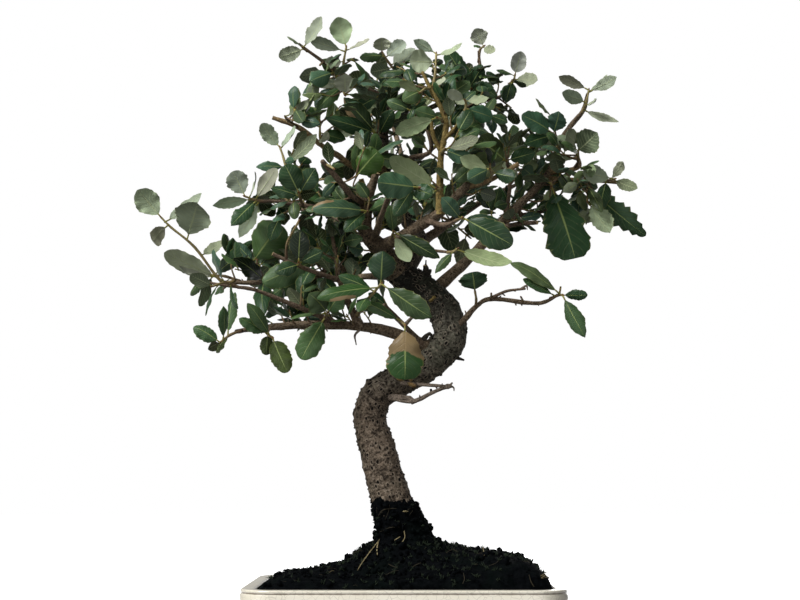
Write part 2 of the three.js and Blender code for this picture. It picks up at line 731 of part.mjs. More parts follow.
      [0.3, 160, 374, 0, 14, 15],
    ],
    more: 0,
  }],
  big_drooping: [{
    route: [[118, 396, 30], [121, 394, 16], [121, 391, 8]],
    radii: [1.7, 1.1],
    leaves: [
      [1, 140, 333, -8, 36, 0],
    ],
    more: 1,
  }],
  curled_right: [{
    route: [[148, 396, 22], [150, 390, 12], [150, 379, 4]],
    radii: [1.4, 0.9],
    leaves: [
      [0.4, 199, 354, -2, 18, 24], [1, 168, 354, -2, 19, 178], [0.45, 161, 372, -8, 10, 10],
    ],
    more: 0,
  }],
  low_right_end: [{
    route: [[120, 301, -25], [127, 304, -28], [130, 304, -30]],
    radii: [1.4, 0.9],
    leaves: [
      [0.7, 90, 331, -36, 12, 25], [0.3, 99, 317, -32, 8, 0], [0.95, 150, 304, -34, 9, 20],
      [1, 148, 270, -38, 14, 15],
    ],
    more: 0,
  }],
  low_right_first: [{
    route: [[60, 294, -16], [61, 300, -20], [60, 307, -22]],
    radii: [1.2, 0.9],
    leaves: [
      [1, 58, 322, -28, 24, 0],
    ],
    more: 0,
  }, {
    route: [[72, 301, -18], [73, 303, -21], [73, 305, -24]],
    radii: [1.1, 0.8],
    leaves: [
      [1, 66, 316, -32, 10, 0],
    ],
    more: 0,
  }, {
    route: [[98, 298, -22], [98, 300, -24], [97, 302, -26]],
    radii: [1, 0.8],
    leaves: [
      [1, 83, 306, -30, 8, 25],
    ],
    more: 0,
  }],
  long_pale_right: [{
    route: [[38, 338, -49], [43, 339, -54], [46, 341, -56]],
    radii: [1.2, 0.9],
    leaves: [
      [0.9, 91, 327, -78, 13, 168], [0.5, 28, 322, -58, 8, 20],
    ],
    more: 0,
  }],
  bright_centre: [{
    route: [[-7, 347, -26], [-6, 352, -36], [-5, 355, -42]],
    radii: [1.4, 0.9],
    leaves: [
      [1, 31, 334, -52, 13, 15], [0.7, 8, 330, -48, 12, 178], [0.8, -8, 376, -52, 10, 0],
    ],
    more: 0,
  }],
  by_the_trunk: [{
    route: [[-35, 286, -17], [-28, 298, -34], [-21, 306, -42], [-15, 313, -46]],
    radii: [1.7, 0.9],
    leaves: [
      [1, 25, 286, -54, 19, 15], [0.98, -14, 339, -52, 23, 0], [0.85, -66, 303, -54, 14, 20],
      [0.5, -33, 292, -58, 11, 20], [0.7, -50, 322, -56, 12, 10],
    ],
    more: 0,
  }],
  half_brown: [{
    route: [[-1, 284, -20], [2, 282, -34], [4, 280, -40]],
    radii: [1.5, 1],
    leaves: [
      [1, 4, 237, -46, 26, 0], [0.4, -32, 299, -36, 10, 15],
    ],
    more: 0,
  }],
  dark_oval_left: [{
    route: [[-76, 325, -43], [-80, 328, -50], [-81, 330, -54]],
    radii: [1.3, 0.9],
    leaves: [
      [1, -80, 356, -60, 17, 0], [0.6, -100, 322, -58, 13, 10], [0.8, -62, 340, -60, 12, 0],
    ],
    more: 0,
  }, {
    route: [[-91, 333, -48], [-90, 346, -54], [-81, 363, -60]],
    radii: [1.2, 0.8],
    leaves: [
      [1, -61, 388, -66, 10, 20], [0.95, -93, 350, -66, 12, 0],
    ],
    more: 0,
  }],
  brown_tipped: [{
    route: [[-27, 367, -18], [-27, 370, -30], [-26, 371, -38]],
    radii: [1.4, 0.9],
    leaves: [
      [1, -70, 374, -48, 16, 12], [0.6, -8, 380, -42, 10, 10], [0.8, -44, 356, -46, 12, 0],
    ],
    more: 0,
  }],
  bright_green_left: [{
    route: [[-30, 406, 9], [-34, 401, -16], [-35, 399, -42]],
    radii: [1.6, 0.9],
    leaves: [
      [1, -18, 419, -50, 23, 0], [0.8, -34, 425, -46, 10, 0],
    ],
    more: 0,
  }, {
    route: [[-60, 409, -56], [-56, 407, -60], [-53, 405, -63]],
    radii: [1.2, 0.9],
    leaves: [
      [0.5, -79, 413, -60, 14, 5], [0.3, -67, 418, -58, 10, 178], [1, -62, 391, -68, 12, 10],
    ],
    more: 0,
  }],
  tan_edged: [{
    route: [[-12, 430, 13], [-17, 432, 2], [-19, 433, -6]],
    radii: [1.4, 0.9],
    leaves: [
      [1, -45, 462, -14, 17, 10], [0.9, -58, 443, -18, 14, 10], [0.5, -6, 452, -12, 14, 0],
    ],
    more: 1,
  }],
  right_back_low: [{
    route: [[112, 370, 52], [122, 374, 60], [130, 372, 66]],
    radii: [1.3, 0.8],
    leaves: [
      [1, 158, 366, 74, 15, 178],
    ],
    more: 3,
  }],
  back_left_far: [{
    route: [[-76, 372, 84], [-94, 382, 98], [-110, 386, 104]],
    radii: [1.6, 0.8],
    leaves: [],
    more: 5,
  }, {
    route: [[-94, 382, 98], [-78, 392, 84], [-56, 398, 70]],
    radii: [1.5, 0.8],
    leaves: [],
    more: 4,
  }],
  back_right_far: [{
    route: [[84, 388, 96], [98, 404, 108], [108, 418, 112]],
    radii: [1.6, 0.8],
    leaves: [],
    more: 5,
  }, {
    route: [[98, 404, 108], [86, 404, 88], [72, 410, 70]],
    radii: [1.5, 0.8],
    leaves: [],
    more: 4,
  }],
  back_high: [{
    route: [[-5, 438, 88], [-14, 458, 92], [-18, 474, 86]],
    radii: [1.5, 0.8],
    leaves: [],
    more: 5,
  }, {
    route: [[-14, 458, 92], [-26, 444, 78], [-36, 428, 62]],
    radii: [1.5, 0.8],
    leaves: [],
    more: 4,
  }],
  back_low: [{
    route: [[-68, 313, 90], [-86, 318, 104], [-102, 330, 110]],
    radii: [1.5, 0.8],
    leaves: [],
    more: 5,
  }, {
    route: [[-86, 318, 104], [-70, 332, 92], [-48, 346, 76]],
    radii: [1.5, 0.8],
    leaves: [],
    more: 4,
  }],
  back_middle: [{
    route: [[30, 356, 40], [20, 372, 78], [16, 384, 104]],
    radii: [1.7, 0.8],
    leaves: [],
    more: 5,
  }, {
    route: [[20, 372, 78], [38, 364, 78], [56, 350, 72]],
    radii: [1.5, 0.8],
    leaves: [],
    more: 4,
  }],
  back_crown: [{
    route: [[4, 402, 62], [30, 424, 72], [50, 440, 70]],
    radii: [1.6, 0.8],
    leaves: [],
    more: 5,
  }, {
    route: [[30, 424, 72], [24, 440, 84], [14, 454, 92]],
    radii: [1.5, 0.8],
    leaves: [],
    more: 4,
  }],
};

// Blade outline: shares of the length with the half width there, as a share of the widest.
const SMALL_OUTLINE = [[0.38, 0.95], [0.78, 0.84]];
const MIDDLE_OUTLINE = [[0.27, 0.76], [0.56, 1], [0.85, 0.68]];
const LONG_OUTLINE = [[0.24, 0.68], [0.48, 1], [0.72, 0.92], [0.91, 0.52]];

const FRONT = new THREE.Vector3(0, -1, 0);
const UP = new THREE.Vector3(0, 0, 1);
const ASIDE = new THREE.Vector3(1, 0, 0);

// The part of a vector that lies square to a direction, at unit length.
function squareTo(vector, direction) {
  return vector.clone().addScaledVector(direction, -vector.dot(direction)).normalize();
}

function namedLeaf(curve, [share, across, up, behind, width, turn], random) {
  const base = curve.getPoint(share);
  const tip = place([across, up, behind]);
  const along = tip.clone().sub(base).normalize();
  const face = squareTo(FRONT, along).applyAxisAngle(along, THREE.MathUtils.degToRad(turn));
  return { base, tip, face, dodge: FRONT, width, arch: 0.03 + 0.07 * random(), cup: 0.3 * random() - 0.05 };
}

// Leaves of the spiral rule: each a golden angle further round the stem than the one before.
const GOLDEN_ANGLE = THREE.MathUtils.degToRad(137.5);

function spiralLeaf(curve, index, count, spin, random) {
  const share = 0.3 + (0.7 * (index + 0.3 + 0.7 * random())) / count;
  const base = curve.getPoint(share);
  const tangent = curve.getTangent(share);
  const sideways = tangent.clone().cross(Math.abs(tangent.z) < 0.9 ? UP : ASIDE).normalize();
  const upward = sideways.clone().cross(tangent);
  const angle = spin + index * GOLDEN_ANGLE;
  const lean = THREE.MathUtils.degToRad(48 + 26 * random());
  const along = tangent.clone().multiplyScalar(Math.cos(lean))
    .addScaledVector(sideways, Math.sin(lean) * Math.cos(angle))
    .addScaledVector(upward, Math.sin(lean) * Math.sin(angle))
    .normalize();
  const length = 25 + 13 * random();
  const outward = new THREE.Vector3(base.x, base.y, 0).normalize();
  const wanted = UP.clone().multiplyScalar(0.5).addScaledVector(outward, 0.7)
    .add(new THREE.Vector3(random() - 0.5, random() - 0.5, random() - 0.5));
  const face = squareTo(wanted, along);
  const tip = base.clone().addScaledVector(along, length);
  const width = length * (0.46 + 0.14 * random());
  return { base, tip, face, dodge: face, width, arch: 0.02 + 0.1 * random(), cup: 0.3 * random() - 0.05 };
}

// A leaf can be swung and turned a little from where it was drawn, to pass clear of what is there.
const SWINGS = [0, 5, -5, 10, -10, 15, -15, 21, -21, 28, -28];
const TURNS = [0, 16, -16];

function swungLeaf(leaf, swing, turn) {
  const tip = leaf.tip.clone().addScaledVector(leaf.dodge, swing);
  const along = tip.clone().sub(leaf.base).normalize();
  const face = squareTo(leaf.face, along).applyAxisAngle(along, THREE.MathUtils.degToRad(turn));
  return { ...leaf, tip, face };
}

// One leaf as a thin solid: the same triangles above and below, a blade thickness apart.
function leafSolid({ base, tip, face, width, arch, cup }, thick, withPetiole) {
  const length = tip.distanceTo(base);
  const along = tip.clone().sub(base).normalize();
  const leftward = face.clone().cross(along);
  const fullOutline = length > LONG_LEAF ? LONG_OUTLINE : MIDDLE_OUTLINE;
  const outline = length < SMALL_LEAF ? SMALL_OUTLINE : fullOutline;
  const spot = (share, aside, wave) => base.clone()
    .addScaledVector(along, share * length)
    .addScaledVector(leftward, aside)
    .addScaledVector(face, arch * length * 4 * share * (1 - share) - cup * Math.abs(aside) + wave);
  const side = (sign) => outline.map(([share, fullness], index) => {
    const wave = sign * EDGE_WAVE * width * (index % 2 ? 1 : -1);
    return spot(share, sign * fullness * width * 0.5, wave);
  });
  const petioleEnd = (sign) => spot(PETIOLE_SHARE, sign * PETIOLE_HALF, 0);
  const rim = [
    ...(withPetiole ? [spot(PETIOLE_ROOT, 0, 0)] : []),
    petioleEnd(-1), ...side(-1), tip.clone(), ...side(1).reverse(), petioleEnd(1),
  ];
  const flat = [spot(0.5, 0, 0), ...rim];
  const half = face.clone().multiplyScalar(thick / 2);
  const upper = flat.map((point) => point.clone().add(half));
  const under = flat.map((point) => point.clone().sub(half));
  const points = [...upper, ...under];
  const count = flat.length;
  const faces = [];
  for (let step = 0; step < rim.length; step += 1) {
    const here = 1 + step;
    const next = 1 + ((step + 1) % rim.length);
    faces.push([0, here, next], [count, count + next, count + here]);
    faces.push([here, count + here, count + next], [here, count + next, next]);
  }
  return solidFrom(points, faces);
}

function boxesMeet(a, b) {
  return [0, 1, 2].every((axis) => a.min[axis] < b.max[axis] && b.min[axis] < a.max[axis]);
}

function crosses(solid, placed) {
  const box = solid.boundingBox();
  return placed.some((other) => boxesMeet(box, other.box) && !solid.intersect(other.solid).isEmpty());
}

// The solid without its finest edges, and without scraps that a cut has left loose.
function plainSolid(solid) {
  const pieces = solid.asOriginal().simplify(FINEST_FORM).decompose();
  return pieces.reduce((best, piece) => (piece.volume() > best.volume() ? piece : best));
}

function spraySolids(obstacles) {
  const placed = obstacles.map((solid) => ({ solid, box: solid.boundingBox() }));
  const grown = Object.entries(SPRAYS).map(([name, stems], index) => {
    const random = seededRandom(FIRST_SPRAY_SEED + index);
    const solids = stems.map((stem) => stemSolid(stem));
    const leaves = stems.flatMap((stem) => {
      const curve = curveOf(stem.route);
      const spin = 2 * Math.PI * random();
      return [
        ...stem.leaves.map((entry) => namedLeaf(curve, entry, random)),
        ...Array.from({ length: stem.more }, (unused, number) => (
          spiralLeaf(curve, number, stem.more, spin, random)
        )),
      ];
    });
    return { name, owner: index, solids, leaves, named: stems.flatMap((stem) => stem.leaves).length };
  });
  for (const spray of grown) {
    const stems = spray.solids.reduce((sum, stem) => sum.add(stem));
    placed.push({ solid: stems, box: stems.boundingBox(), owner: spray.owner });
  }
  const settle = (spray, leaf) => {
    const others = placed.filter((other) => other.owner !== spray.owner || other.blade);
    for (const swing of SWINGS) {
      for (const turn of TURNS) {
        const candidate = swungLeaf(leaf, swing, turn);
        if (!crosses(leafSolid(candidate, BLADE_THICK + 2 * CLEAR_MARGIN, false), others)) {
          const solid = leafSolid(candidate, BLADE_THICK, true);
          placed.push({ solid, box: solid.boundingBox(), owner: spray.owner, blade: true });
          spray.solids.push(solid);
          return;
        }
      }
    }
  };
  grown.forEach((spray) => spray.leaves.slice(0, spray.named).forEach((leaf) => settle(spray, leaf)));
  grown.forEach((spray) => spray.leaves.slice(spray.named).forEach((leaf) => settle(spray, leaf)));
  return grown;
}

// Assembly.
function material(colour, roughness, metalness = 0) {
  return new THREE.MeshStandardMaterial({ color: colour, roughness, metalness });
}

const FINISHES = {
  glaze: material('#d8d2bf', 0.25),
  mesh: material('#20261f', 0.6),
  peat: material('#15130f', 0.95),
  bark: material('#4b4339', 0.9),
  leaf: material('#4a6247', 0.5),
};

function pieceMesh(name, solid, finish) {
  const { vertProperties, triVerts } = plainSolid(solid).getMesh();
  const geometry = new THREE.BufferGeometry();
  geometry.setAttribute('position', new THREE.BufferAttribute(vertProperties, 3));
  geometry.setIndex(new THREE.BufferAttribute(triVerts, 1));
  geometry.computeVertexNormals();
  const mesh = new THREE.Mesh(geometry, finish);
  mesh.name = name;
  return mesh;
}

const bonsai = new THREE.Group();
const wood = woodSolid();
const woodAndGap = woodSolid(GAP);
const pot = potSolid();
const soil = soilSolid(woodAndGap);

bonsai.add(pieceMesh('pot', pot, FINISHES.glaze));
bonsai.add(pieceMesh('drain_mesh_left', drainMeshSolid(-1), FINISHES.mesh));
bonsai.add(pieceMesh('drain_mesh_right', drainMeshSolid(1), FINISHES.mesh));
bonsai.add(pieceMesh('soil', soil, FINISHES.peat));
bonsai.add(pieceMesh('trunk', wood, FINISHES.bark));

for (const { name, solids } of spraySolids([woodAndGap, soil, pot])) {
  const grown = solids.reduce((sum, solid) => sum.add(solid));
  bonsai.add(pieceMesh(`spray_${name}`, grown.subtract(woodAndGap), FINISHES.leaf));
}

// The origin is the middle of the whole tree's footprint.
const middle = new THREE.Box3().setFromObject(bonsai).getCenter(new THREE.Vector3());
bonsai.position.set(-middle.x, -middle.y, 0);

export default bonsai;
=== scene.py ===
# The looks of a cork oak bonsai in a glazed pot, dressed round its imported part. The front of the tree
# looks along -Y and +Z is up. Sizes are in millimetres, as the tree was drawn, and each piece is turned
# to metres when its mesh is made.
import math
from collections import namedtuple
from functools import partial

import bpy
import numpy as np
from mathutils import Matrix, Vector, kdtree, noise
from mathutils.bvhtree import BVHTree


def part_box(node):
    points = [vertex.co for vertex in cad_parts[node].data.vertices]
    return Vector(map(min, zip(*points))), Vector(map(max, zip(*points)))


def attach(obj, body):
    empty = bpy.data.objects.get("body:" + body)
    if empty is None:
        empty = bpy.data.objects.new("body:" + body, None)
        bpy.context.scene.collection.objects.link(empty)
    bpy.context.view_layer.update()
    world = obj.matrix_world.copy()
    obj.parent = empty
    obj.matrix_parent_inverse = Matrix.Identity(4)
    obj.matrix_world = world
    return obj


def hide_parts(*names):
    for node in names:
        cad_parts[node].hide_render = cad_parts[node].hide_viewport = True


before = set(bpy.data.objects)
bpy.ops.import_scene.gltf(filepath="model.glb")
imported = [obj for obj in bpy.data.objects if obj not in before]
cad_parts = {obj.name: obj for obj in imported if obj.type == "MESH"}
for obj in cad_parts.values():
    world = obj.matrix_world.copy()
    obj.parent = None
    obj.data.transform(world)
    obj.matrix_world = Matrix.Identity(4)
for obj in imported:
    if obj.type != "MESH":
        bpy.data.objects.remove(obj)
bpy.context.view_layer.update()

MM = 0.001

# Pot.
POT_LENGTH = 240
POT_WIDTH = 184
POT_HEIGHT = 79
POT_CORNER = 26
POT_FOOT_HEIGHT = 8
POT_FLOOR = 8
RIM_WIDTH = 11
LIP_HEIGHT = 14
LIP_OVERHANG = 3
WALL_TAPER = 9
RIM_ROUND = 2
POT_FLOOR_TOP = POT_FOOT_HEIGHT + POT_FLOOR
LIP_UNDERSIDE = POT_HEIGHT - LIP_HEIGHT

# Soil.
SOIL_EDGE = 73
SOIL_GAP = 0.3
COLLAR_FOOT_RADIUS = 25
MOUND_SPREAD = 62

# Leaves.
PETIOLE_SHARE = 0.12
BLADE_THICK = 0.45
CAD_BLADE_THICK = 0.8

# Photograph's view: how far across and how far up on a plane through the trunk, and how far behind it.
EYE = np.array([-3.0, -1090.0, 155.0])
EYE_PITCH = math.radians(7.59)
LENS = 61.85
SKETCH_MIDDLE_UP = 300
LOOK_UP_SINE = 0.1321
LOOK_UP_COSINE = 0.9912
MIDDLE_RISE = 145.2
DEPTH_SPREAD = 1.25


def pot_middle():
    """Where the pot's middle stands in the frame, in millimetres."""
    low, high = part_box("pot")
    return np.array([(low.x + high.x) / 2, (low.y + high.y) / 2, 0]) / MM


# The tree was drawn round the pot's middle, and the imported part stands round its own.
SHIFT = pot_middle()


# Seeded draws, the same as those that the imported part's leaves came from.
WORD = 0xFFFFFFFF


def seeded_random(seed):
    state = seed & WORD

    def draw():
        nonlocal state
        state = (state + 0x6D2B79F5) & WORD
        mixed = ((state ^ (state >> 15)) * (state | 1)) & WORD
        mixed ^= (mixed + (mixed ^ (mixed >> 7)) * (mixed | 61)) & WORD
        return ((mixed ^ (mixed >> 14)) & WORD) / (WORD + 1)

    return draw


# Directions and curves.
FRONT = np.array([0.0, -1.0, 0.0])
UP = np.array([0.0, 0.0, 1.0])
ASIDE = np.array([1.0, 0.0, 0.0])


def unit(vector):
    return vector / np.linalg.norm(vector)


def square_to(vector, direction):
    """The part of a vector that lies square to a direction, at unit length."""
    return unit(vector - direction * vector.dot(direction))


def turned(vector, axis, degrees):
    angle = math.radians(degrees)
    return (
        vector * math.cos(angle)
        + np.cross(axis, vector) * math.sin(angle)
        + axis * axis.dot(vector) * (1 - math.cos(angle))
    )


def heading_at(angle):
    """The level direction at an angle round the upright."""
    return np.array([math.cos(angle), math.sin(angle), 0])


def off_stem(direction, angle, lean):
    """The way of what stands off a stem, at an angle round it and leaning out from it."""
    sideways = unit(np.cross(direction, UP if abs(direction[2]) < 0.9 else ASIDE))
    upward = np.cross(sideways, direction)
    spread = sideways * math.cos(angle) + upward * math.sin(angle)
    return unit(direction * math.cos(lean) + spread * math.sin(lean))


def place(spot):
    """A drawn spot (across, up, behind) as a point of the tree."""
    across, up, behind = spot
    depth = DEPTH_SPREAD * behind
    rise = up - SKETCH_MIDDLE_UP
    reach = (depth - EYE[1]) / (-EYE[1] - LOOK_UP_SINE * rise)
    return np.array([
        EYE[0] + reach * across,
        depth,
        EYE[2] + reach * (MIDDLE_RISE + LOOK_UP_COSINE * rise),
    ])


def curve_point(points, share):
    """A point of the smooth curve through the given ones, at a share of its spans."""
    spans = len(points) - 1
    index = min(int(spans * share), spans - 1)
    step = spans * share - index
    here, after = points[index], points[index + 1]
    before = points[index - 1] if index > 0 else 2 * points[0] - points[1]
    beyond = points[index + 2] if index + 2 <= spans else 2 * points[-1] - points[-2]
    leave = (after - before) / 2
    arrive = (beyond - here) / 2
    bend = 3 * (after - here) - 2 * leave - arrive
    twist = 2 * (here - after) + leave + arrive
    return here + leave * step + bend * step**2 + twist * step**3


def curve_tangent(points, share):
    reach = 0.0001
    ahead = curve_point(points, min(share + reach, 1))
    return unit(ahead - curve_point(points, max(share - reach, 0)))


def curve_points(points, shares):
    return np.array([curve_point(points, share) for share in shares])


def run_lengths(points):
    """How far along a run each of its points lies."""
    return np.concatenate([[0], np.cumsum(np.linalg.norm(np.diff(points, axis=0), axis=1))])


def along_list(values, share):
    """A value read off a list of them, at a share of its length."""
    return float(np.interp(share * (len(values) - 1), range(len(values)), values))


def curve_run(route, radii, steps):
    """Points and radii along a drawn route, with so many steps between its points."""
    drawn = [place(spot) for spot in route]
    shares = np.linspace(0, 1, steps * (len(drawn) - 1) + 1)
    return curve_points(drawn, shares), np.array([along_list(radii, share) for share in shares])


def stood(name, data):
    """A new object that stands in the scene."""
    placed = bpy.data.objects.new(name, data)
    bpy.context.scene.collection.objects.link(placed)
    return placed


# Meshes are gathered as numbered points and faces, and made into pieces at the end. A named value is kept
# by the count of numbers that it has.
VALUE_KINDS = {1: ("FLOAT", "value"), 3: ("FLOAT_VECTOR", "vector"), 4: ("FLOAT_COLOR", "color")}


class Gathered:
    """Points, faces, a finish for each face, and named values at each point. An edge between two points
    that are noted as sharp isn't smoothed over."""

    def __init__(self):
        self.points = []
        self.faces = []
        self.finishes = []
        self.values = {}
        self.sharp = set()
        self.count = 0

    def add(self, points, faces, finish, **values):
        """Adds one body. A value is a row for each point, or one row for all of them."""
        points = np.asarray(points, float)
        self.points.append(points)
        self.faces.extend(tuple(self.count + corner for corner in face) for face in faces)
        self.finishes.extend([finish] * len(faces))
        for name, value in values.items():
            row = np.atleast_1d(np.asarray(value, float))
            rows = np.broadcast_to(row, (len(points), row.shape[-1]))
            self.values.setdefault(name, []).append((self.count, rows))
        self.count += len(points)

    def piece(self, name, finishes, slot):
        """Makes the piece, in metres in the frame, riding on the one body of the tree."""
        mesh = bpy.data.meshes.new(name)
        points = (np.concatenate(self.points) + SHIFT) * MM
        mesh.from_pydata(points.tolist(), [], self.faces)
        for finish in finishes:
            mesh.materials.append(finish)
        mesh.polygons.foreach_set("material_index", self.finishes)
        mesh.polygons.foreach_set("use_smooth", [True] * len(self.faces))
        for value_name, runs in self.values.items():
            width = runs[0][1].shape[-1]
            table = np.zeros((self.count, width), np.float32)
            for start, rows in runs:
                table[start:start + len(rows)] = rows
            kind, field = VALUE_KINDS[width]
            mesh.attributes.new(value_name, kind, "POINT").data.foreach_set(field, table.ravel())
        if self.sharp:
            ends = np.empty(2 * len(mesh.edges), np.int32)
            mesh.edges.foreach_get("vertices", ends)
            rim = np.zeros(self.count, bool)
            rim[list(self.sharp)] = True
            mesh.edges.foreach_set("use_edge_sharp", rim[ends].reshape(-1, 2).all(axis=1))
        piece = stood(name, mesh)
        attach(piece, "root")
        return piece


def ring_faces(rings, sides, closed_ends=True):
    """Faces of a tube whose rings each have so many sides, turning left round the way it runs."""
    faces = []
    for ring in range(rings - 1):
        for side in range(sides):
            here = ring * sides + side
            beside = ring * sides + (side + 1) % sides
            faces.append((here, beside, beside + sides, here + sides))
    if closed_ends:
        last = (rings - 1) * sides
        faces.append(tuple(reversed(range(sides))))
        faces.append(tuple(range(last, last + sides)))
    return faces


def tube_axes(points):
    """Two directions at each point of a run, square to the way it runs and to each other."""
    tangents = np.gradient(points, axis=0)
    tangents /= np.linalg.norm(tangents, axis=1)[:, None]
    sideways = np.cross(UP if abs(tangents[0][2]) < 0.9 else ASIDE, tangents[0])
    turned_sideways = []
    for tangent in tangents:
        sideways = square_to(sideways, tangent)
        turned_sideways.append(sideways)
    turned_sideways = np.array(turned_sideways)
    return turned_sideways, np.cross(tangents, turned_sideways)


def tube_points(points, radii, sides, swell=None):
    """Rings round a run of points. swell gives what each ring's points are pushed out by."""
    sideways, upward = tube_axes(points)
    angles = np.linspace(0, 2 * math.pi, sides, endpoint=False)
    outward = (
        sideways[:, None] * np.cos(angles)[None, :, None]
        + upward[:, None] * np.sin(angles)[None, :, None]
    )
    width = np.broadcast_to(np.asarray(radii, float)[:, None], (len(points), sides)).copy()
    if swell is not None:
        width += swell
    return (points[:, None] + outward * width[:, :, None]).reshape(-1, 3)


def add_tube(gathered, points, radii, sides, finish, **values):
    spots = tube_points(np.asarray(points, float), radii, sides)
    gathered.add(spots, ring_faces(len(points), sides), finish, **values)


# Finishes.
def linear(hex_colour):
    """A colour written as sRGB hex, as the linear colour that a shader takes."""
    channels = [int(hex_colour[start:start + 2], 16) / 255 for start in (1, 3, 5)]
    return tuple(c / 12.92 if c <= 0.04045 else ((c + 0.055) / 1.055) ** 2.4 for c in channels) + (1.0,)


def add_node(tree, kind, inputs=(), output=0, **settings):
    """Adds a node with its settings and gives one of its outputs, by name or number. Each input is a value
    or another node's output, in the order of the sockets or under their names or numbers."""
    node = tree.nodes.new("ShaderNode" + kind)
    for name, value in settings.items():
        setattr(node, name, value)
    for socket, value in inputs.items() if isinstance(inputs, dict) else enumerate(inputs):
        if isinstance(value, bpy.types.NodeSocket):
            tree.links.new(value, node.inputs[socket])
        else:
            node.inputs[socket].default_value = value
    return node.outputs[output]


def made_finish(name, recipe, *details):
    """A material by a recipe, which adds the nodes of its pattern and gives its shader's inputs."""
    material = bpy.data.materials.new(name)
    material.use_nodes = True
    tree = material.node_tree
    tree.nodes.clear()
    shader = add_node(tree, "BsdfPrincipled", recipe(partial(add_node, tree), *details))
    output = tree.nodes.new("ShaderNodeOutputMaterial")
    tree.links.new(shader, output.inputs["Surface"])
    return material


def per_mm(size_mm):
    """A pattern's scale, for a pattern that repeats about once in so many millimetres."""
    return 1 / (size_mm * MM)


# The node that mixes two colours: its sockets for the first and the second, and its output.
FIRST = 6
SECOND = 7
MIXED = 2


# Stage: the photograph's view, a seamless pale sweep, and soft studio light.
SENSOR_WIDTH = 36
FARTHEST_SEEN = 20
AIM = Vector((0, 0, 0.3))
# Soft boxes, turned to the tree's middle: power in watts, side in metres and place in metres.
SOFT_BOXES = {
    "key": (56, 0.8, (-1.2, -0.85, 1.85)),
    "fill": (18, 1.8, (0.5, -2.2, 0.4)),
    "low_left": (10, 1.2, (-1.8, -1.3, 0.15)),
    "back": (14, 1.2, (0.8, 1.9, 0.7)),
}
AMBIENT = 0.05
# How much of the bright sweep shows in the glaze and in waxy leaves.
MIRRORED = 0.26
SWEEP_RADIUS = 6
SWEEP_SIDES = 64
SWEEP_LEVEL = -0.0005
# How far behind the tree the sweep begins to glow, and where it is pure white, in metres.
GLOW_FROM = 0.2
GLOW_TO = 0.6


def add_camera():
    data = bpy.data.cameras.new("view")
    data.lens = LENS
    data.sensor_width = SENSOR_WIDTH
    data.clip_end = FARTHEST_SEEN
    camera = stood("view", data)
    camera.location = (EYE + SHIFT) * MM
    camera.rotation_euler = (math.pi / 2 + EYE_PITCH, 0, 0)
    bpy.context.scene.camera = camera


def add_soft_boxes():
    for name, (power, side, spot) in SOFT_BOXES.items():
        data = bpy.data.lights.new(name, "AREA")
        data.energy = power
        data.size = side
        light = stood(name, data)
        light.location = spot
        light.rotation_euler = (AIM - Vector(spot)).to_track_quat("-Z", "Y").to_euler()


def add_world():
    """The sweep behind the tree is bright white, and the light that comes off it is softer."""
    world = bpy.data.worlds.new("studio")
    world.use_nodes = True
    tree = world.node_tree
    glossy = add_node(tree, "LightPath", (), "Is Glossy Ray")
    in_sight = add_node(tree, "Math", [glossy, MIRRORED, glossy.node.outputs["Is Camera Ray"]],
                        operation="MULTIPLY_ADD")
    strength = add_node(tree, "MapRange", {"Value": in_sight, "To Min": AMBIENT, "To Max": 1.0})
    background = tree.nodes["Background"]
    tree.links.new(strength, background.inputs["Strength"])
    background.inputs["Color"].default_value = (1, 1, 1, 1)
    bpy.context.scene.world = world
    bpy.context.scene.view_settings.view_transform = "Standard"


def white_sweep(add):
    """Matt white card that glows behind the tree until it is pure white there, a painted light that stands in
    for lamps on the sweep.
    """
    here = add("TexCoord", (), "Object")
    grain = add("TexNoise", {"Vector": here, "Scale": per_mm(40), "Detail": 3.0})
    behind = add("SeparateXYZ", [here], "Y")
    # The painted glow: emission that stands in for lamplight on the sweep.
    glow = add("MapRange", [behind, GLOW_FROM, GLOW_TO, 0.0, 1.0], interpolation_type="SMOOTHSTEP")
    tone = add("Mix", {"Factor": grain, FIRST: linear("#f6f6f6"), SECOND: linear("#fbfbfb")}, MIXED,
               data_type="RGBA")
    return {
        "Base Color": tone, "Roughness": 0.9, "Specular IOR Level": 0.0,
        "Emission Color": (1, 1, 1, 1), "Emission Strength": glow,
    }


def add_sweep():
    angles = np.linspace(0, 2 * math.pi, SWEEP_SIDES, endpoint=False)
    rim = [(SWEEP_RADIUS * math.cos(a), SWEEP_RADIUS * math.sin(a), SWEEP_LEVEL) for a in angles]
    mesh = bpy.data.meshes.new("floor")
    mesh.from_pydata(rim, [], [tuple(range(SWEEP_SIDES))])
    mesh.materials.append(made_finish("matt_white_sweep", white_sweep))
    floor = stood("floor", mesh)
    # The tree keeps its deep shade: the white sweep is seen, but throws no light up into the leaves.
    floor.visible_diffuse = False


add_camera()
add_world()
add_soft_boxes()
add_sweep()


# The drawing. A stem has the name of its spray, where it runs (across, up, behind), its thickness from start
# to end, how many leaves follow the spiral rule, and its drawn leaves: share of the stem, tip (across, up,
# behind), width, turn about the midrib (0 shows the upper side to the front, 180 the underside) and tone.
Stem = namedtuple("Stem", "spray route radii more leaves")
Branch = namedtuple("Branch", "route radii")

TRUNK = Branch([
    (0, 58, 0), (1, 92, 0), (0, 116, 0), (-6, 140, 0), (-13, 162, 1), (-18, 181, 2), (-23, 198, 3),
    (-24, 210, 3), (-17, 225, 2), (3, 237, 0), (25, 252, -2), (39, 267, -4), (39, 281, -4),
    (32, 295, -2), (16, 310, 0), (2, 318, 0), (-3, 328, 0),
], (15, 19, 17, 15.5, 14.8, 14, 13.4, 13.2, 13.4, 12.6, 13.6, 12.6, 12.4, 12.6, 12.2, 11, 9))

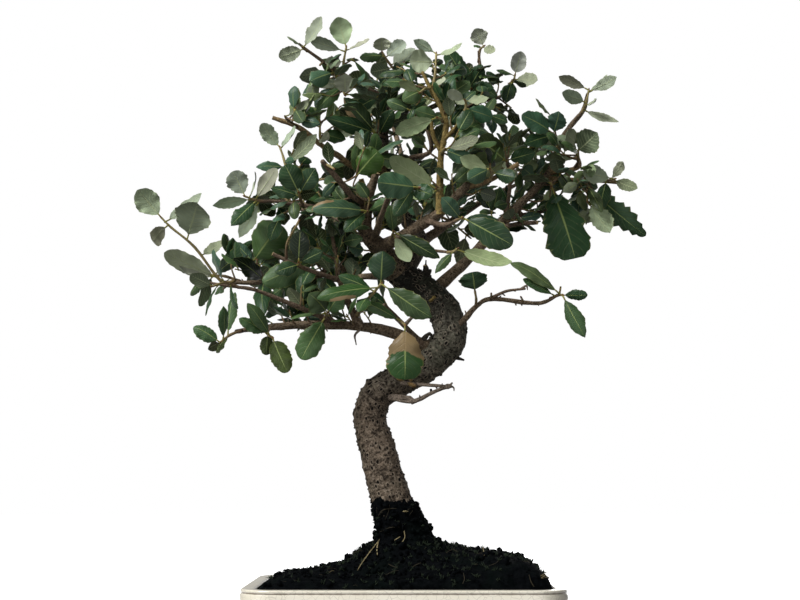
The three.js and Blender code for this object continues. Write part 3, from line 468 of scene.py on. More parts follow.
BRANCHES = {
    "leader": Branch([(-1, 322, 0), (14, 346, 12), (5, 366, 18), (-12, 404, 16), (-11, 443, 12), (0, 488, 8)],
        (9, 7, 5.6, 4.2, 3.2, 1.6)),
    "front_left_limb": Branch([(-2, 322, -2), (-20, 345, -12), (-28, 356, -16), (-27, 370, -18),
        (-27, 383, -19)], (8, 6.2, 5.4, 4.8, 4.2)),
    "front_left_stub": Branch([(-27, 381, -19), (-31, 397, -22)], (2.8, 2.2)),
    "sawn_stub": Branch([(-26, 379, -19), (-19, 402, -26)], (3.4, 3)),
    "front_right_limb": Branch([(-19, 343, -12), (-8, 346, -24), (20, 362, -32), (33, 371, -37),
        (54, 392, -44)], (5, 4.6, 4.2, 4, 3.2)),
    "golden_stem": Branch([(32, 369, -37), (32, 394, -42), (33, 418, -46), (37, 439, -48), (34, 451, -48),
        (25, 468, -48), (18, 482, -50)], (3.2, 2.8, 2.5, 2.1, 1.9, 1.7, 1.5)),
    "golden_fork": Branch([(33, 418, -46), (27, 430, -49), (25, 443, -50)], (1.7, 1.4)),
    "golden_side": Branch([(35, 428, -47), (44, 438, -52), (53, 450, -54)], (1.6, 1.2)),
    "golden_cut": Branch([(52, 390, -43), (70, 395, -46), (95, 409, -50)], (2.4, 1.8)),
    "right_limb": Branch([(22, 303, 2), (56, 334, 16), (82, 363, 24), (117, 399, 30), (130, 430, 28),
        (146, 451, 24), (150, 465, 22)], (5, 4.2, 3.8, 3.2, 2.4, 1.8, 1.4)),
    "right_upper_fork": Branch([(119, 402, 30), (142, 406, 22), (142, 415, 20)], (2, 1.8)),
    "right_outer_fork": Branch([(118, 397, 30), (146, 396, 22), (176, 394, 14)], (1.9, 1.4)),
    "right_back_fork": Branch([(78, 359, 24), (98, 368, 40), (117, 371, 56)], (1.9, 1.3)),
    "right_cut_fork": Branch([(78, 357, 23), (94, 361, 12), (110, 362, 4)], (2, 1.6)),
    "right_riser": Branch([(84, 364, 24), (88, 392, 12), (86, 411, 4)], (1.7, 1.2)),
    "low_left_limb": Branch([(27, 256, 0), (18, 264, -6), (-6, 274, -13), (-33, 279, -16), (-75, 280, -20),
        (-106, 278, -24), (-131, 275, -26)], (5.4, 4.8, 4.2, 3.8, 3, 2.4, 2)),
    "low_left_riser": Branch([(-33, 279, -16), (-42, 300, -22), (-49, 317, -26), (-51, 334, -28),
        (-54, 350, -30)], (3, 2.4, 2, 1.7, 1.4)),
    "thin_left_branch": Branch([(-45, 279, -17), (-90, 298, -38), (-116, 308, -44), (-135, 311, -46),
        (-154, 314, -46)], (2.2, 1.7, 1.4, 1.2, 1)),
    "upper_left_branch": Branch([(-10, 334, -6), (-28, 331, -2), (-61, 321, 6), (-86, 317, 10),
        (-110, 314, 12), (-142, 314, 12)], (3.8, 3.4, 2.8, 2.4, 2, 1.4)),
    "inner_branch": Branch([(21, 261, -6), (4, 279, -18), (-13, 296, -28)], (2.8, 2.2, 1.7)),
    "inner_twig": Branch([(3, 279, -18), (14, 291, -24)], (1.5, 1.2)),
    "high_left_branch": Branch([(-12, 402, 15), (-37, 407, 6), (-49, 415, 2), (-63, 424, -2), (-81, 438, -4),
        (-102, 446, -6)], (3.2, 2.8, 2.5, 2.2, 2, 1.7)),
    "low_right_branch": Branch([(38, 274, -4), (50, 283, -12), (61, 295, -16), (73, 301, -18),
        (100, 298, -22), (114, 298, -24), (126, 304, -26)], (3, 2.4, 2.1, 1.9, 1.7, 1.6, 1.4)),
    "low_right_twig": Branch([(72, 301, -18), (85, 307, -26), (100, 309, -30)], (1.3, 1)),
    "mid_left_branch": Branch([(-27, 372, -18), (-44, 373, -26), (-79, 376, -32), (-100, 379, -34),
        (-112, 379, -36)], (2.6, 2.1, 1.7, 1.4, 1.2)),
    "slant_twig": Branch([(-28, 377, -19), (-37, 382, -36), (-49, 396, -50), (-62, 411, -58)], (2.3, 2)),
    "cut_twig_left": Branch([(-49, 316, -26), (-78, 326, -44), (-102, 337, -50)], (1.8, 1.3)),
    "cross_twig": Branch([(-4, 347, -25), (18, 341, -42), (42, 338, -50)], (1.7, 1.2)),
    "top_left_branch": Branch([(-8, 460, 10), (-30, 471, 2), (-41, 478, -2), (-59, 489, -8), (-81, 505, -15)],
        (2.4, 2, 1.7, 1.4, 1.1)),
    "grey_branch": Branch([(-12, 408, 15), (10, 414, 4), (25, 420, -6), (20, 443, -12)], (2.8, 2, 1.7)),
    "top_right_branch": Branch([(-11, 441, 12), (20, 452, 12), (50, 466, 8), (63, 480, 4), (63, 499, 2)],
        (2.6, 2.1, 1.8, 1.5, 1.2)),
    "top_right_fork": Branch([(46, 464, 8), (70, 460, 18), (85, 466, 22), (90, 476, 22)], (1.7, 1.2)),
    "back_left_limb": Branch([(0, 328, 4), (-20, 350, 34), (-50, 366, 64), (-84, 374, 90)],
        (5, 3.8, 2.8, 1.8)),
    "back_right_limb": Branch([(12, 342, 12), (34, 358, 44), (64, 378, 76), (92, 392, 102)],
        (4.4, 3.6, 2.8, 1.8)),
    "back_high_limb": Branch([(5, 366, 18), (6, 390, 50), (0, 420, 76), (-8, 446, 92)], (3.8, 3, 2.4, 1.6)),
    "back_low_limb": Branch([(20, 306, 6), (-4, 318, 40), (-40, 318, 72), (-76, 312, 94)],
        (4, 3.2, 2.4, 1.6)),
    "front_limb": Branch([(-21, 348, -14), (-16, 364, -48), (-10, 380, -80), (-4, 396, -104)],
        (3, 2.2, 1.8, 1.4)),
    "front_low_limb": Branch([(22, 363, -33), (36, 360, -62), (46, 364, -92)], (2.6, 1.9, 1.3)),
    "dead_twig_lower": Branch([(-8, 222, -8), (10, 219, -20), (26, 226, -24), (38, 231, -25)], (2, 1.1)),
    "dead_twig_upper": Branch([(-4, 234, -6), (22, 232, -20), (38, 231, -25)], (1.8, 1.1)),
    "top_stub": Branch([(18, 310, -2), (21, 323, -6), (20, 328, -8)], (4, 2.6, 1.4)),
    "inner_spur": Branch([(30, 264, -6), (27, 272, -8)], (3, 1.2)),
    "thorn": Branch([(40, 256, -4), (51, 252, -6)], (2.4, 0.8)),
}

STEMS = [
    Stem("outer_left_tip", [
        (-132, 315, 12), (-144, 316, 8), (-164, 342, 2), (-183, 358, -2), (-191, 366, -4),
    ], (1.5, 0.8), 0, [
        (1, -210, 388, -8, 21, 178, "pale"), (0.88, -159, 386, 8, 13, 150, "pale"),
        (0.58, -162, 379, -14, 31, 184, "pale"), (0.8, -199, 345, -22, 14, 140, "pale"),
        (0.27, -189, 338, -10, 17, 170, "pale"), (0.44, -141, 348, 12, 11, 155, "pale"),
        (0.29, -178, 326, -18, 9, 200, "pale"),
    ]),
    Stem("upper_left_end", [(-128, 315, 12), (-140, 319, 20), (-151, 320, 26)], (1.4, 0.9), 1, [
        (0.9, -116, 348, -2, 14, 20, "dark"), (1, -168, 304, 30, 9, 30), (0.3, -151, 307, 0, 12, 60),
    ]),
    Stem("thin_left_end", [(-128, 310, -45), (-140, 314, -50), (-150, 311, -54)], (1.2, 0.8), 1, [
        (0.7, -155, 287, -58, 9, 70, "dark"), (0.3, -131, 293, -56, 8, 60, "dark"),
        (1, -168, 320, -60, 12, 160),
    ]),
    Stem("low_left_tip", [(-126, 276, -26), (-136, 272, -30), (-144, 266, -32)], (1.4, 0.8), 0, [
        (1, -165, 279, -34, 13, 20, "mid"), (0.85, -141, 295, -42, 10, 40, "mid"),
        (0.6, -133, 307, -24, 10, -30, "mid"), (0.5, -147, 258, -22, 9, 40, "olive"),
        (0.95, -154, 260, -38, 8, 150),
    ]),
    Stem("low_left_hanging", [(-104, 278, -24), (-106, 273, -30), (-102, 270, -36)], (1.4, 0.9), 0, [
        (0.5, -107, 256, -30, 11, -10, "olive"), (1, -90, 242, -40, 17, 5, "olive"),
        (0.6, -128, 286, -38, 12, 30, "mid"), (0.8, -121, 297, -46, 12, 15, "mid"),
    ]),
    Stem("low_left_middle", [(-64, 280, -19), (-60, 286, -26), (-58, 290, -34)], (1.5, 0.9), 0, [
        (0.5, -79, 253, -36, 21, 0, "mid"), (1, -72, 305, -44, 20, 10, "mid"),
        (0.9, -46, 306, -40, 16, 0, "mid"), (0.8, -88, 284, -42, 7, 60, "mid"),
    ]),
    Stem("big_green_left", [(-60, 321, 6), (-62, 328, -4), (-66, 331, -12)], (1.6, 0.9), 1, [
        (1, -110, 314, -20, 22, 12, "mid"), (0.4, -107, 300, -10, 15, 30, "mid"),
        (0.8, -50, 352, -8, 14, 20, "mid"),
    ]),
    Stem("upright_left", [(-108, 314, 12), (-112, 323, 2), (-118, 330, -4)], (1.5, 0.9), 0, [
        (1, -96, 361, -16, 31, 6, "mid"), (0.7, -84, 350, 6, 16, 0, "mid"),
        (0.9, -132, 346, -2, 12, 20, "bluish"), (0.1, -131, 333, -22, 15, 10, "black"),
        (0.05, -110, 292, -34, 15, 0, "dark"),
    ]),
    Stem("left_shoulder_tip", [(-108, 379, -35), (-116, 380, -38), (-124, 383, -40)], (1.3, 0.8), 0, [
        (1, -134, 403, -44, 18, 172, "pale"), (0.8, -114, 402, -52, 8, 110, "pale"),
        (0.6, -150, 376, -42, 10, 150, "pale"), (0.4, -135, 360, -50, 14, 10, "dark"),
        (0.3, -129, 350, -30, 12, 180, "pale"), (0.5, -99, 406, -34, 13, 175, "pale"),
    ]),
    Stem("left_shoulder_pair", [(-78, 376, -32), (-80, 382, -40), (-81, 386, -46)], (1.5, 0.9), 0, [
        (1, -92, 408, -52, 20, 0, "dark"), (0.8, -68, 407, -50, 17, 5, "dark"),
        (0.6, -104, 392, -54, 12, 20, "dark"),
    ]),
    Stem("left_middle_twig", [
        (-90, 378, -33), (-90, 398, -28), (-93, 413, -26), (-96, 422, -26),
    ], (1.3, 0.8), 0, [
        (1, -111, 441, -30, 13, 185, "pale"), (0.98, -83, 438, -18, 8, 130, "pale"),
        (0.55, -66, 432, -30, 12, 165, "plain"), (0.5, -115, 407, -30, 9, 10, "bluish"),
        (0.6, -85, 412, -40, 7, 20, "bluish"),
    ]),
    Stem("high_left_cut", [(-81, 438, -4), (-90, 444, -12), (-92, 447, -18)], (1.3, 0.8), 0, [
        (1, -71, 459, -20, 11, 140, "plain"),
    ]),
    Stem("high_left_twig", [(-63, 424, -2), (-64, 432, -8), (-64, 443, -12)], (1.4, 0.8), 0, [
        (1, -78, 454, -16, 12, 15, "mid"), (0.8, -80, 444, -22, 10, 180, "pale"),
        (0.4, -57, 429, -18, 12, 180, "pale"), (0.6, -44, 432, -14, 12, 20, "mid"),
    ]),
    Stem("high_left_broad", [(-41, 478, -2), (-46, 470, -12), (-44, 464, -18)], (1.3, 0.9), 1, [
        (0.4, -67, 452, -20, 12, 10, "mid"), (0.3, -69, 474, -14, 9, 170, "pale"),
        (1, -44, 481, -24, 19, 180, "pale"),
    ]),
    Stem("top_left_tip", [(-74, 499, -13), (-77, 501, -16), (-78, 502, -18)], (1.1, 0.8), 0, [
        (1, -62, 526, -20, 14, 150, "pale"), (0.9, -90, 511, -26, 6, 60, "pale"),
        (0.5, -97, 494, -18, 13, 170, "pale"),
    ]),
    Stem("top_left_tip", [(-61, 490, -9), (-63, 489, -13), (-64, 488, -16)], (1, 0.8), 0, [
        (1, -79, 478, -22, 11, 150, "pale"),
    ]),
    Stem("top_left_round", [(-46, 481, -3), (-45, 491, -8), (-43, 502, -10)], (1.3, 0.8), 0, [
        (1, -50, 526, -12, 19, 175, "pale"), (0.85, -73, 509, -12, 11, 165, "pale"),
        (0.9, -24, 508, -12, 8, 130, "pale"), (0.5, -60, 490, -16, 10, 180, "pale"),
    ]),
    Stem("top_centre_left", [(-1, 480, 8), (-9, 490, 4), (-14, 498, 0)], (1.3, 0.8), 0, [
        (1, -15, 510, -4, 15, 178, "pale"), (0.75, 4, 507, 4, 13, 172, "pale"),
        (0.8, -32, 494, -6, 10, 10, "mid"), (0.4, 12, 499, 12, 15, 170, "pale"),
        (0.3, -24, 482, -4, 14, 170, "plain"),
    ]),
    Stem("top_centre", [(25, 467, -48), (28, 480, -44), (29, 497, -42)], (1.3, 0.8), 0, [
        (1, 11, 508, -42, 9, 150, "pale"), (0.97, 50, 505, -46, 8, 140, "pale"),
        (0.8, 8, 491, -38, 21, 175, "pale"), (0.3, 36, 474, -58, 10, 170, "pale"),
    ]),
    Stem("golden_top", [(24, 469, -48), (20, 469, -54), (16, 466, -58)], (1.2, 0.9), 0, [
        (1, -1, 475, -66, 9, 140, "light"), (0.6, 2, 460, -56, 14, 0, "mid"),
    ]),
    Stem("top_dark", [(50, 466, 8), (54, 468, -1), (57, 469, -7)], (1.5, 0.9), 1, [
        (1, 37, 500, -12, 18, 5, "dark"), (0.6, 66, 488, -8, 14, 10, "dark"),
        (0.5, 74, 470, -16, 13, 10, "dark"),
    ]),
    Stem("top_right_twig", [(63, 490, 3), (64, 500, 2), (67, 503, 2)], (1.3, 0.8), 0, [
        (1, 60, 517, 0, 15, 180, "pale"), (0.6, 60, 506, 4, 6, 30, "mid"),
        (0.9, 76, 498, -2, 9, 175, "pale"),
    ]),
    Stem("right_top_tip", [(88, 473, 22), (91, 476, 18), (92, 480, 16)], (1.3, 0.8), 1, [
        (1, 97, 499, 12, 14, 185, "palest"), (0.6, 110, 476, 8, 13, 178, "palest"),
        (0.9, 77, 484, 14, 6, 30, "mid"), (0.4, 84, 460, 8, 14, 10, "dark"),
    ]),
    Stem("centre_high", [(51, 449, -54), (53, 456, -56), (52, 460, -60)], (1.2, 0.8), 0, [
        (1, 38, 467, -64, 9, 150, "pale"), (0.9, 71, 461, -60, 10, 150, "pale"),
        (0.5, 44, 462, -54, 7, 180, "pale"), (0.3, 74, 446, -54, 14, 10, "bluish"),
    ]),
    Stem("long_pale_left", [(34, 443, -48), (33, 445, -56), (30, 446, -60)], (1.3, 0.9), 0, [
        (1, -4, 434, -66, 14, 165, "light"), (0.4, 12, 452, -62, 12, 10, "mid"),
    ]),
    Stem("centre_long_pale", [(32, 390, -41), (31, 388, -50), (29, 389, -55)], (1.4, 0.9), 0, [
        (1, -9, 414, -66, 17, 168, "light"), (0.5, 4, 384, -62, 11, 175, "light"),
    ]),
    Stem("golden_side", [(33, 416, -46), (35, 420, -54), (36, 421, -58)], (1.3, 0.9), 0, [
        (1, 63, 430, -64, 12, 160, "plain"), (0.6, 58, 413, -62, 13, 10, "bluish"),
    ]),
    Stem("centre_olive", [(86, 408, 5), (86, 412, -6), (85, 411, -14)], (1.5, 0.9), 0, [
        (1, 62, 428, -26, 27, 4, "olive"), (0.8, 60, 414, -28, 11, 150, "light"),
        (0.6, 68, 402, -18, 10, 20, "light"), (0.5, 108, 418, -14, 14, 10, "dark"),
    ]),
    Stem("front_bluish", [(-8, 386, -88), (4, 389, -102), (15, 390, -110)], (1.4, 0.9), 0, [
        (1, -18, 394, -118, 21, 3, "bluish"), (0.7, 26, 384, -112, 14, 10, "dark"),
        (0.8, -4, 370, -120, 12, 0, "dark"),
    ]),
    Stem("front_low", [(42, 362, -78), (46, 364, -94), (50, 366, -104)], (1.3, 0.9), 0, [
        (0.8, 80, 361, -100, 12, 25, "dark"), (0.8, 34, 382, -108, 13, 0, "bluish"),
        (1, 90, 344, -112, 21, 8, "dark"),
    ]),
    Stem("golden_cut_leaves", [(72, 396, -46), (74, 402, -54), (72, 405, -60)], (1.4, 0.9), 0, [
        (1, 54, 396, -66, 14, 0, "bluish"), (0.8, 48, 414, -62, 12, 170, "light"),
        (0.5, 92, 398, -64, 12, 10, "dark"),
    ]),
    Stem("right_shoulder", [(128, 425, 28), (125, 431, 18), (121, 434, 12)], (1.5, 0.9), 1, [
        (1, 97, 448, 2, 19, 8, "bluish"), (0.8, 128, 452, 4, 18, 12, "bluish"),
        (0.4, 112, 414, 6, 10, 130, "pale"), (0.6, 100, 426, 0, 14, 10, "dark"),
    ]),
    Stem("right_tip", [(145, 449, 24), (149, 458, 20), (151, 468, 18)], (1.4, 0.8), 0, [
        (1, 127, 479, 14, 10, 150, "pale"), (0.95, 166, 480, 22, 8, 120, "pale"),
        (0.9, 173, 477, 10, 11, 170, "pale"), (0.5, 130, 466, 8, 12, 168, "pale"),
        (0.2, 175, 443, 12, 9, 160, "pale"), (0.4, 158, 460, 6, 7, 150, "pale"),
    ]),
    Stem("right_broad", [(140, 406, 23), (143, 412, 12), (141, 418, 6)], (1.5, 0.9), 0, [
        (1, 158, 434, 0, 23, 178, "plain"), (0.5, 114, 414, 2, 9, 140, "pale"),
        (0.8, 130, 424, -6, 8, 20, "mid"),
    ]),
    Stem("right_outer_tip", [(160, 395, 18), (168, 396, 12), (172, 397, 8)], (1.3, 0.8), 0, [
        (0.9, 146, 403, -4, 16, 168, "pale"), (0.5, 179, 411, 2, 9, 165, "pale"),
        (0.8, 190, 389, 2, 12, 170, "plain"), (0.3, 160, 374, 0, 14, 15, "dark"),
    ]),
    Stem("big_drooping", [(118, 396, 30), (121, 394, 16), (121, 391, 8)], (1.7, 1.1), 1, [
        (1, 140, 333, -8, 36, 0, "toothed"),
    ]),
    Stem("curled_right", [(148, 396, 22), (150, 390, 12), (150, 379, 4)], (1.4, 0.9), 0, [
        (0.4, 199, 354, -2, 18, 24, "bitten"), (1, 168, 354, -2, 19, 178, "pale"),
        (0.45, 161, 372, -8, 10, 10, "plain"),
    ]),
    Stem("low_right_end", [(120, 301, -25), (127, 304, -28), (130, 304, -30)], (1.4, 0.9), 0, [
        (0.7, 90, 331, -36, 12, 25, "light"), (0.3, 99, 317, -32, 8, 0, "mid"),
        (0.95, 150, 304, -34, 9, 20, "dark"), (1, 148, 270, -38, 14, 15, "plain"),
    ]),
    Stem("low_right_first", [(60, 294, -16), (61, 300, -20), (60, 307, -22)], (1.2, 0.9), 0, [
        (1, 58, 322, -28, 24, 0, "dark"),
    ]),
    Stem("low_right_first", [(72, 301, -18), (73, 303, -21), (73, 305, -24)], (1.1, 0.8), 0, [
        (1, 66, 316, -32, 10, 0, "dark"),
    ]),
    Stem("low_right_first", [(98, 298, -22), (98, 300, -24), (97, 302, -26)], (1, 0.8), 0, [
        (1, 83, 306, -30, 8, 25, "dark"),
    ]),
    Stem("long_pale_right", [(38, 338, -49), (43, 339, -54), (46, 341, -56)], (1.2, 0.9), 0, [
        (0.9, 91, 327, -78, 13, 168, "light"), (0.5, 28, 322, -58, 8, 20, "mid"),
    ]),
    Stem("bright_centre", [(-7, 347, -26), (-6, 352, -36), (-5, 355, -42)], (1.4, 0.9), 0, [
        (1, 31, 334, -52, 13, 15, "bright"), (0.7, 8, 330, -48, 12, 178, "light"),
        (0.8, -8, 376, -52, 10, 0, "mid"),
    ]),
    Stem("by_the_trunk", [
        (-35, 286, -17), (-28, 298, -34), (-21, 306, -42), (-15, 313, -46),
    ], (1.7, 0.9), 0, [
        (1, 25, 286, -54, 19, 15, "plain"), (0.98, -14, 339, -52, 23, 0, "dark"),
        (0.85, -66, 303, -54, 14, 20, "brown_edge"), (0.5, -33, 292, -58, 11, 20, "mid"),
        (0.7, -50, 322, -56, 12, 10, "dark"),
    ]),
    Stem("half_brown", [(-1, 284, -20), (2, 282, -34), (4, 280, -40)], (1.5, 1), 0, [
        (1, 4, 237, -46, 26, 0, "half_brown"), (0.4, -32, 299, -36, 10, 15, "mid"),
    ]),
    Stem("dark_oval_left", [(-76, 325, -43), (-80, 328, -50), (-81, 330, -54)], (1.3, 0.9), 0, [
        (1, -80, 356, -60, 17, 0, "black"), (0.6, -100, 322, -58, 13, 10, "dark"),
        (0.8, -62, 340, -60, 12, 0, "dark"),
    ]),
    Stem("dark_oval_left", [(-91, 333, -48), (-90, 346, -54), (-81, 363, -60)], (1.2, 0.8), 0, [
        (1, -61, 388, -66, 10, 20, "bright"), (0.95, -93, 350, -66, 12, 0, "fresh"),
    ]),
    Stem("brown_tipped", [(-27, 367, -18), (-27, 370, -30), (-26, 371, -38)], (1.4, 0.9), 0, [
        (1, -70, 374, -48, 16, 12, "brown_tip"), (0.6, -8, 380, -42, 10, 10, "mid"),
        (0.8, -44, 356, -46, 12, 0, "dark"),
    ]),
    Stem("bright_green_left", [(-30, 406, 9), (-34, 401, -16), (-35, 399, -42)], (1.6, 0.9), 0, [
        (1, -18, 419, -50, 23, 0, "fresh"), (0.8, -34, 425, -46, 10, 0, "mid"),
    ]),
    Stem("bright_green_left", [(-60, 409, -56), (-56, 407, -60), (-53, 405, -63)], (1.2, 0.9), 0, [
        (0.5, -79, 413, -60, 14, 5, "black"), (0.3, -67, 418, -58, 10, 178, "pale"),
        (1, -62, 391, -68, 12, 10, "dark"),
    ]),
    Stem("tan_edged", [(-12, 430, 13), (-17, 432, 2), (-19, 433, -6)], (1.4, 0.9), 1, [
        (1, -45, 462, -14, 17, 10, "tan_edge"), (0.9, -58, 443, -18, 14, 10, "dark"),
        (0.5, -6, 452, -12, 14, 0, "dark"),
    ]),
    Stem("right_back_low", [(112, 370, 52), (122, 374, 60), (130, 372, 66)], (1.3, 0.8), 3, [
        (1, 158, 366, 74, 15, 178, "pale"),
    ]),
    Stem("back_left_far", [(-76, 372, 84), (-94, 382, 98), (-110, 386, 104)], (1.6, 0.8), 5, []),
    Stem("back_left_far", [(-94, 382, 98), (-78, 392, 84), (-56, 398, 70)], (1.5, 0.8), 4, []),
    Stem("back_right_far", [(84, 388, 96), (98, 404, 108), (108, 418, 112)], (1.6, 0.8), 5, []),
    Stem("back_right_far", [(98, 404, 108), (86, 404, 88), (72, 410, 70)], (1.5, 0.8), 4, []),
    Stem("back_high", [(-5, 438, 88), (-14, 458, 92), (-18, 474, 86)], (1.5, 0.8), 5, []),
    Stem("back_high", [(-14, 458, 92), (-26, 444, 78), (-36, 428, 62)], (1.5, 0.8), 4, []),
    Stem("back_low", [(-68, 313, 90), (-86, 318, 104), (-102, 330, 110)], (1.5, 0.8), 5, []),
    Stem("back_low", [(-86, 318, 104), (-70, 332, 92), (-48, 346, 76)], (1.5, 0.8), 4, []),
    Stem("back_middle", [(30, 356, 40), (20, 372, 78), (16, 384, 104)], (1.7, 0.8), 5, []),
    Stem("back_middle", [(20, 372, 78), (38, 364, 78), (56, 350, 72)], (1.5, 0.8), 4, []),
    Stem("back_crown", [(4, 402, 62), (30, 424, 72), (50, 440, 70)], (1.6, 0.8), 5, []),
    Stem("back_crown", [(30, 424, 72), (24, 440, 84), (14, 454, 92)], (1.5, 0.8), 4, []),
]
SPRAYS = {}
for stem in STEMS:
    SPRAYS.setdefault(stem.spray, []).append(stem)


# Leaf finishes. Each point of a leaf knows its share along the blade, its place across it from -1 to 1 and
# a chance number (leaf_place), its greens (upper_tint, under_tint), the upper one with a painted sheen
# towards one end, and how far inside a scorched patch it lies (scorch).
SIDE_VEIN_PAIRS = 8.0
VEIN_SWEEP = 0.27


def vein_pattern(add):
    """How near the margin a spot lies, and what is 1 on the midrib and on the side veins, and 0 off them."""
    along = add("SeparateXYZ", [add("Attribute", (), "Vector", attribute_name="leaf_place")], "X")
    across, chance = along.node.outputs["Y"], along.node.outputs["Z"]
    aside = add("Math", [across], operation="ABSOLUTE")
    taper = add("MapRange", [along, 0.0, 1.0, 0.12, 0.03])
    midrib = add("MapRange", [aside, 0.0, taper, 1.0, 0.0], interpolation_type="SMOOTHSTEP")
    bent = add("Math", [aside, 1.25], operation="POWER")
    swept = add("Math", [bent, -VEIN_SWEEP, along], operation="MULTIPLY_ADD")
    paired = add("Math", [swept, SIDE_VEIN_PAIRS, chance], operation="MULTIPLY_ADD")
    beat = add("Math", [paired, 0.5], operation="PINGPONG")
    side_veins = add("MapRange", [beat, 0.02, 0.12, 1.0, 0.0], interpolation_type="SMOOTHSTEP")
    margin_fade = add("MapRange", [aside, 0.55, 0.95, 1.0, 0.0])
    return aside, midrib, add("Math", [side_veins, margin_fade], operation="MULTIPLY")


def leaf_face(add, tint_name, vein_colour, side_vein_share, roughness, specular, felt, relief_mm):
    """A leaf face: its own green, blotched a little, with veins and a scorched patch where it has one."""
    aside, midrib, side_veins = vein_pattern(add)
    here = add("TexCoord", (), "Object")
    blotch = add("TexNoise", {"Vector": here, "Scale": per_mm(9), "Detail": 4.0})
    shade = add("MapRange", [blotch, 0.3, 0.7, 0.84, 1.16])
    tint = add("Attribute", attribute_name=tint_name)
    colour = add("VectorMath", {0: tint, "Scale": shade}, operation="SCALE")
    side_share = add("Math", [side_veins, side_vein_share], operation="MULTIPLY")
    rib_share = add("Math", [midrib, 0.9], operation="MULTIPLY")
    edge = add("MapRange", [aside, 0.93, 1.0, 0.0, 0.35])
    scorch = add("Attribute", (), "Fac", attribute_name="scorch")
    ragged = add("TexNoise", {"Vector": here, "Scale": per_mm(3), "Detail": 2.0})
    border = add("Math", [ragged, 0.08, scorch], operation="MULTIPLY_ADD")
    burnt = add("MapRange", [border, 0.03, 0.06, 0.0, 1.0])
    dead = add("Mix", {"Factor": shade, FIRST: linear("#554129"), SECOND: linear("#83704f")}, MIXED,
               data_type="RGBA")
    vein = linear(vein_colour)
    for share, over in ((side_share, vein), (rib_share, vein), (edge, linear("#a9a45c")), (burnt, dead)):
        colour = add("Mix", {"Factor": share, FIRST: colour, SECOND: over}, MIXED, data_type="RGBA")
    ridges = add("Math", [side_veins, midrib], operation="ADD")
    pores = add("TexNoise", {"Vector": here, "Scale": per_mm(0.9), "Detail": 2.0})
    height = add("Math", [pores, 0.2, ridges], operation="MULTIPLY_ADD")
    bump = add("Bump", {"Strength": 0.6, "Distance": abs(relief_mm) * MM, "Height": height},
               invert=relief_mm < 0)
    return {
        "Base Color": colour, "Roughness": roughness, "Specular IOR Level": specular,
        "Sheen Weight": felt, "Sheen Roughness": 0.6, "Normal": bump,
    }


# Leathery evergreen leaf, its upper side waxed by a cuticle: dark, with soft wide highlights, and veins
# that are pressed in and a little paler.
waxy_leaf = made_finish("waxy_leaf_upper", leaf_face, "upper_tint", "#8b9a5c", 0.1, 0.4, 0.2, 0.0, -0.25)

# Its underside is felted with fine grey hairs: dull and pale, with veins that stand out.
felted_leaf = made_finish("felted_leaf_underside", leaf_face, "under_tint", "#aab38a", 0.5, 0.85, 0.08, 0.05,
                          0.3)


def downy_bark(add):
    """Young oak bark, smooth and downy: golden, olive or red brown, flecked with pale breathing pores."""
    here = add("TexCoord", (), "Object")
    streak = add("TexNoise", {"Vector": here, "Scale": per_mm(4), "Detail": 5.0})
    shade = add("MapRange", [streak, 0.3, 0.7, 0.65, 1.3])
    tint = add("Attribute", attribute_name="tint")
    streaked = add("VectorMath", {0: tint, "Scale": shade}, operation="SCALE")
    pores = add("TexVoronoi", {"Vector": here, "Scale": per_mm(2.2)})
    flecks = add("MapRange", [pores, 0.12, 0.22, 0.5, 0.0])
    flecked = add("Mix", {"Factor": flecks, FIRST: streaked, SECOND: linear("#b5a98c")}, MIXED,
                  data_type="RGBA")
    bump = add("Bump", {"Strength": 0.5, "Distance": 0.25 * MM, "Height": streak})
    return {"Base Color": flecked, "Roughness": 0.62, "Specular IOR Level": 0.25, "Normal": bump}


young_stem = made_finish("young_stem_bark", downy_bark)
LEAFY = [waxy_leaf, felted_leaf, young_stem]


# Leaves. A leaf grows from its base on a stem to its tip. Its face is the direction of its upper side.
Leaf = namedtuple("Leaf", "base tip face dodge width arch cup tone")

# Greens as seen from above and from below. The black green, and in part the dark one, are deepened past the
# leaves' own colour: painted shade for leaves deep in the crown.
TONES = {
    "plain": ("#3a4f2f", "#67725a"),
    "mid": ("#425b36", "#6f7b5e"),
    "dark": ("#253f24", "#566144"),
    "toothed": ("#304a2b", "#566144"),
    "black": ("#0e1d0c", "#3b472a"),
    "bluish": ("#3c5743", "#67745f"),
    "light": ("#61724a", "#929f76"),
    "bright": ("#122908", "#717f4a"),
    "fresh": ("#3c5722", "#5f7038"),
    "olive": ("#3c4a24", "#585e36"),
    "pale": ("#727e66", "#99a189"),
    "palest": ("#76816a", "#9ea590"),
    "half_brown": ("#294222", "#7a6c54"),
    "brown_tip": ("#3c573e", "#5c6950"),
    "brown_edge": ("#364e28", "#68744a"),
    "tan_edge": ("#26391d", "#68744a"),
    "bitten": ("#2f4a2a", "#545f3a"),
    "withered": ("#8a6f45", "#a08a5e"),
}
PLAIN_TONES = ("plain", "mid", "dark", "bluish", "plain", "dark")

# How far a spot of the blade lies inside a scorched patch: above 0 it has dried brown. The two sides of
# the midrib are above and below 0 aside, 1 being the margin.
SCORCHES = {
    "half_brown": lambda along, aside: 0.44 + 0.12 * np.abs(aside) + 0.05 * aside - along,
    "brown_tip": lambda along, aside: np.maximum(along - 0.97, np.minimum(along - 0.55, -0.55 - aside)),
    "brown_edge": lambda along, aside: np.minimum(aside - 0.55, 0.24 - np.abs(along - 0.55)),
    "tan_edge": lambda along, aside: np.minimum(aside - 0.5, along - 0.12),
}

# Leaves whose margins are more toothed or torn than the rest.
TOOTHING = {"toothed": 1.3, "half_brown": 1.2, "bitten": 3.4}

# How slowly a blade widens from its base and narrows to its tip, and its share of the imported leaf's
# width, where a leaf is blunt like a spoon.
SPOON_SHAPES = {
    "toothed": (0.66, 0.36, 0.97),
    "half_brown": (0.7, 0.42, 1.08),
    "fresh": (0.6, 0.42, 0.95),
}

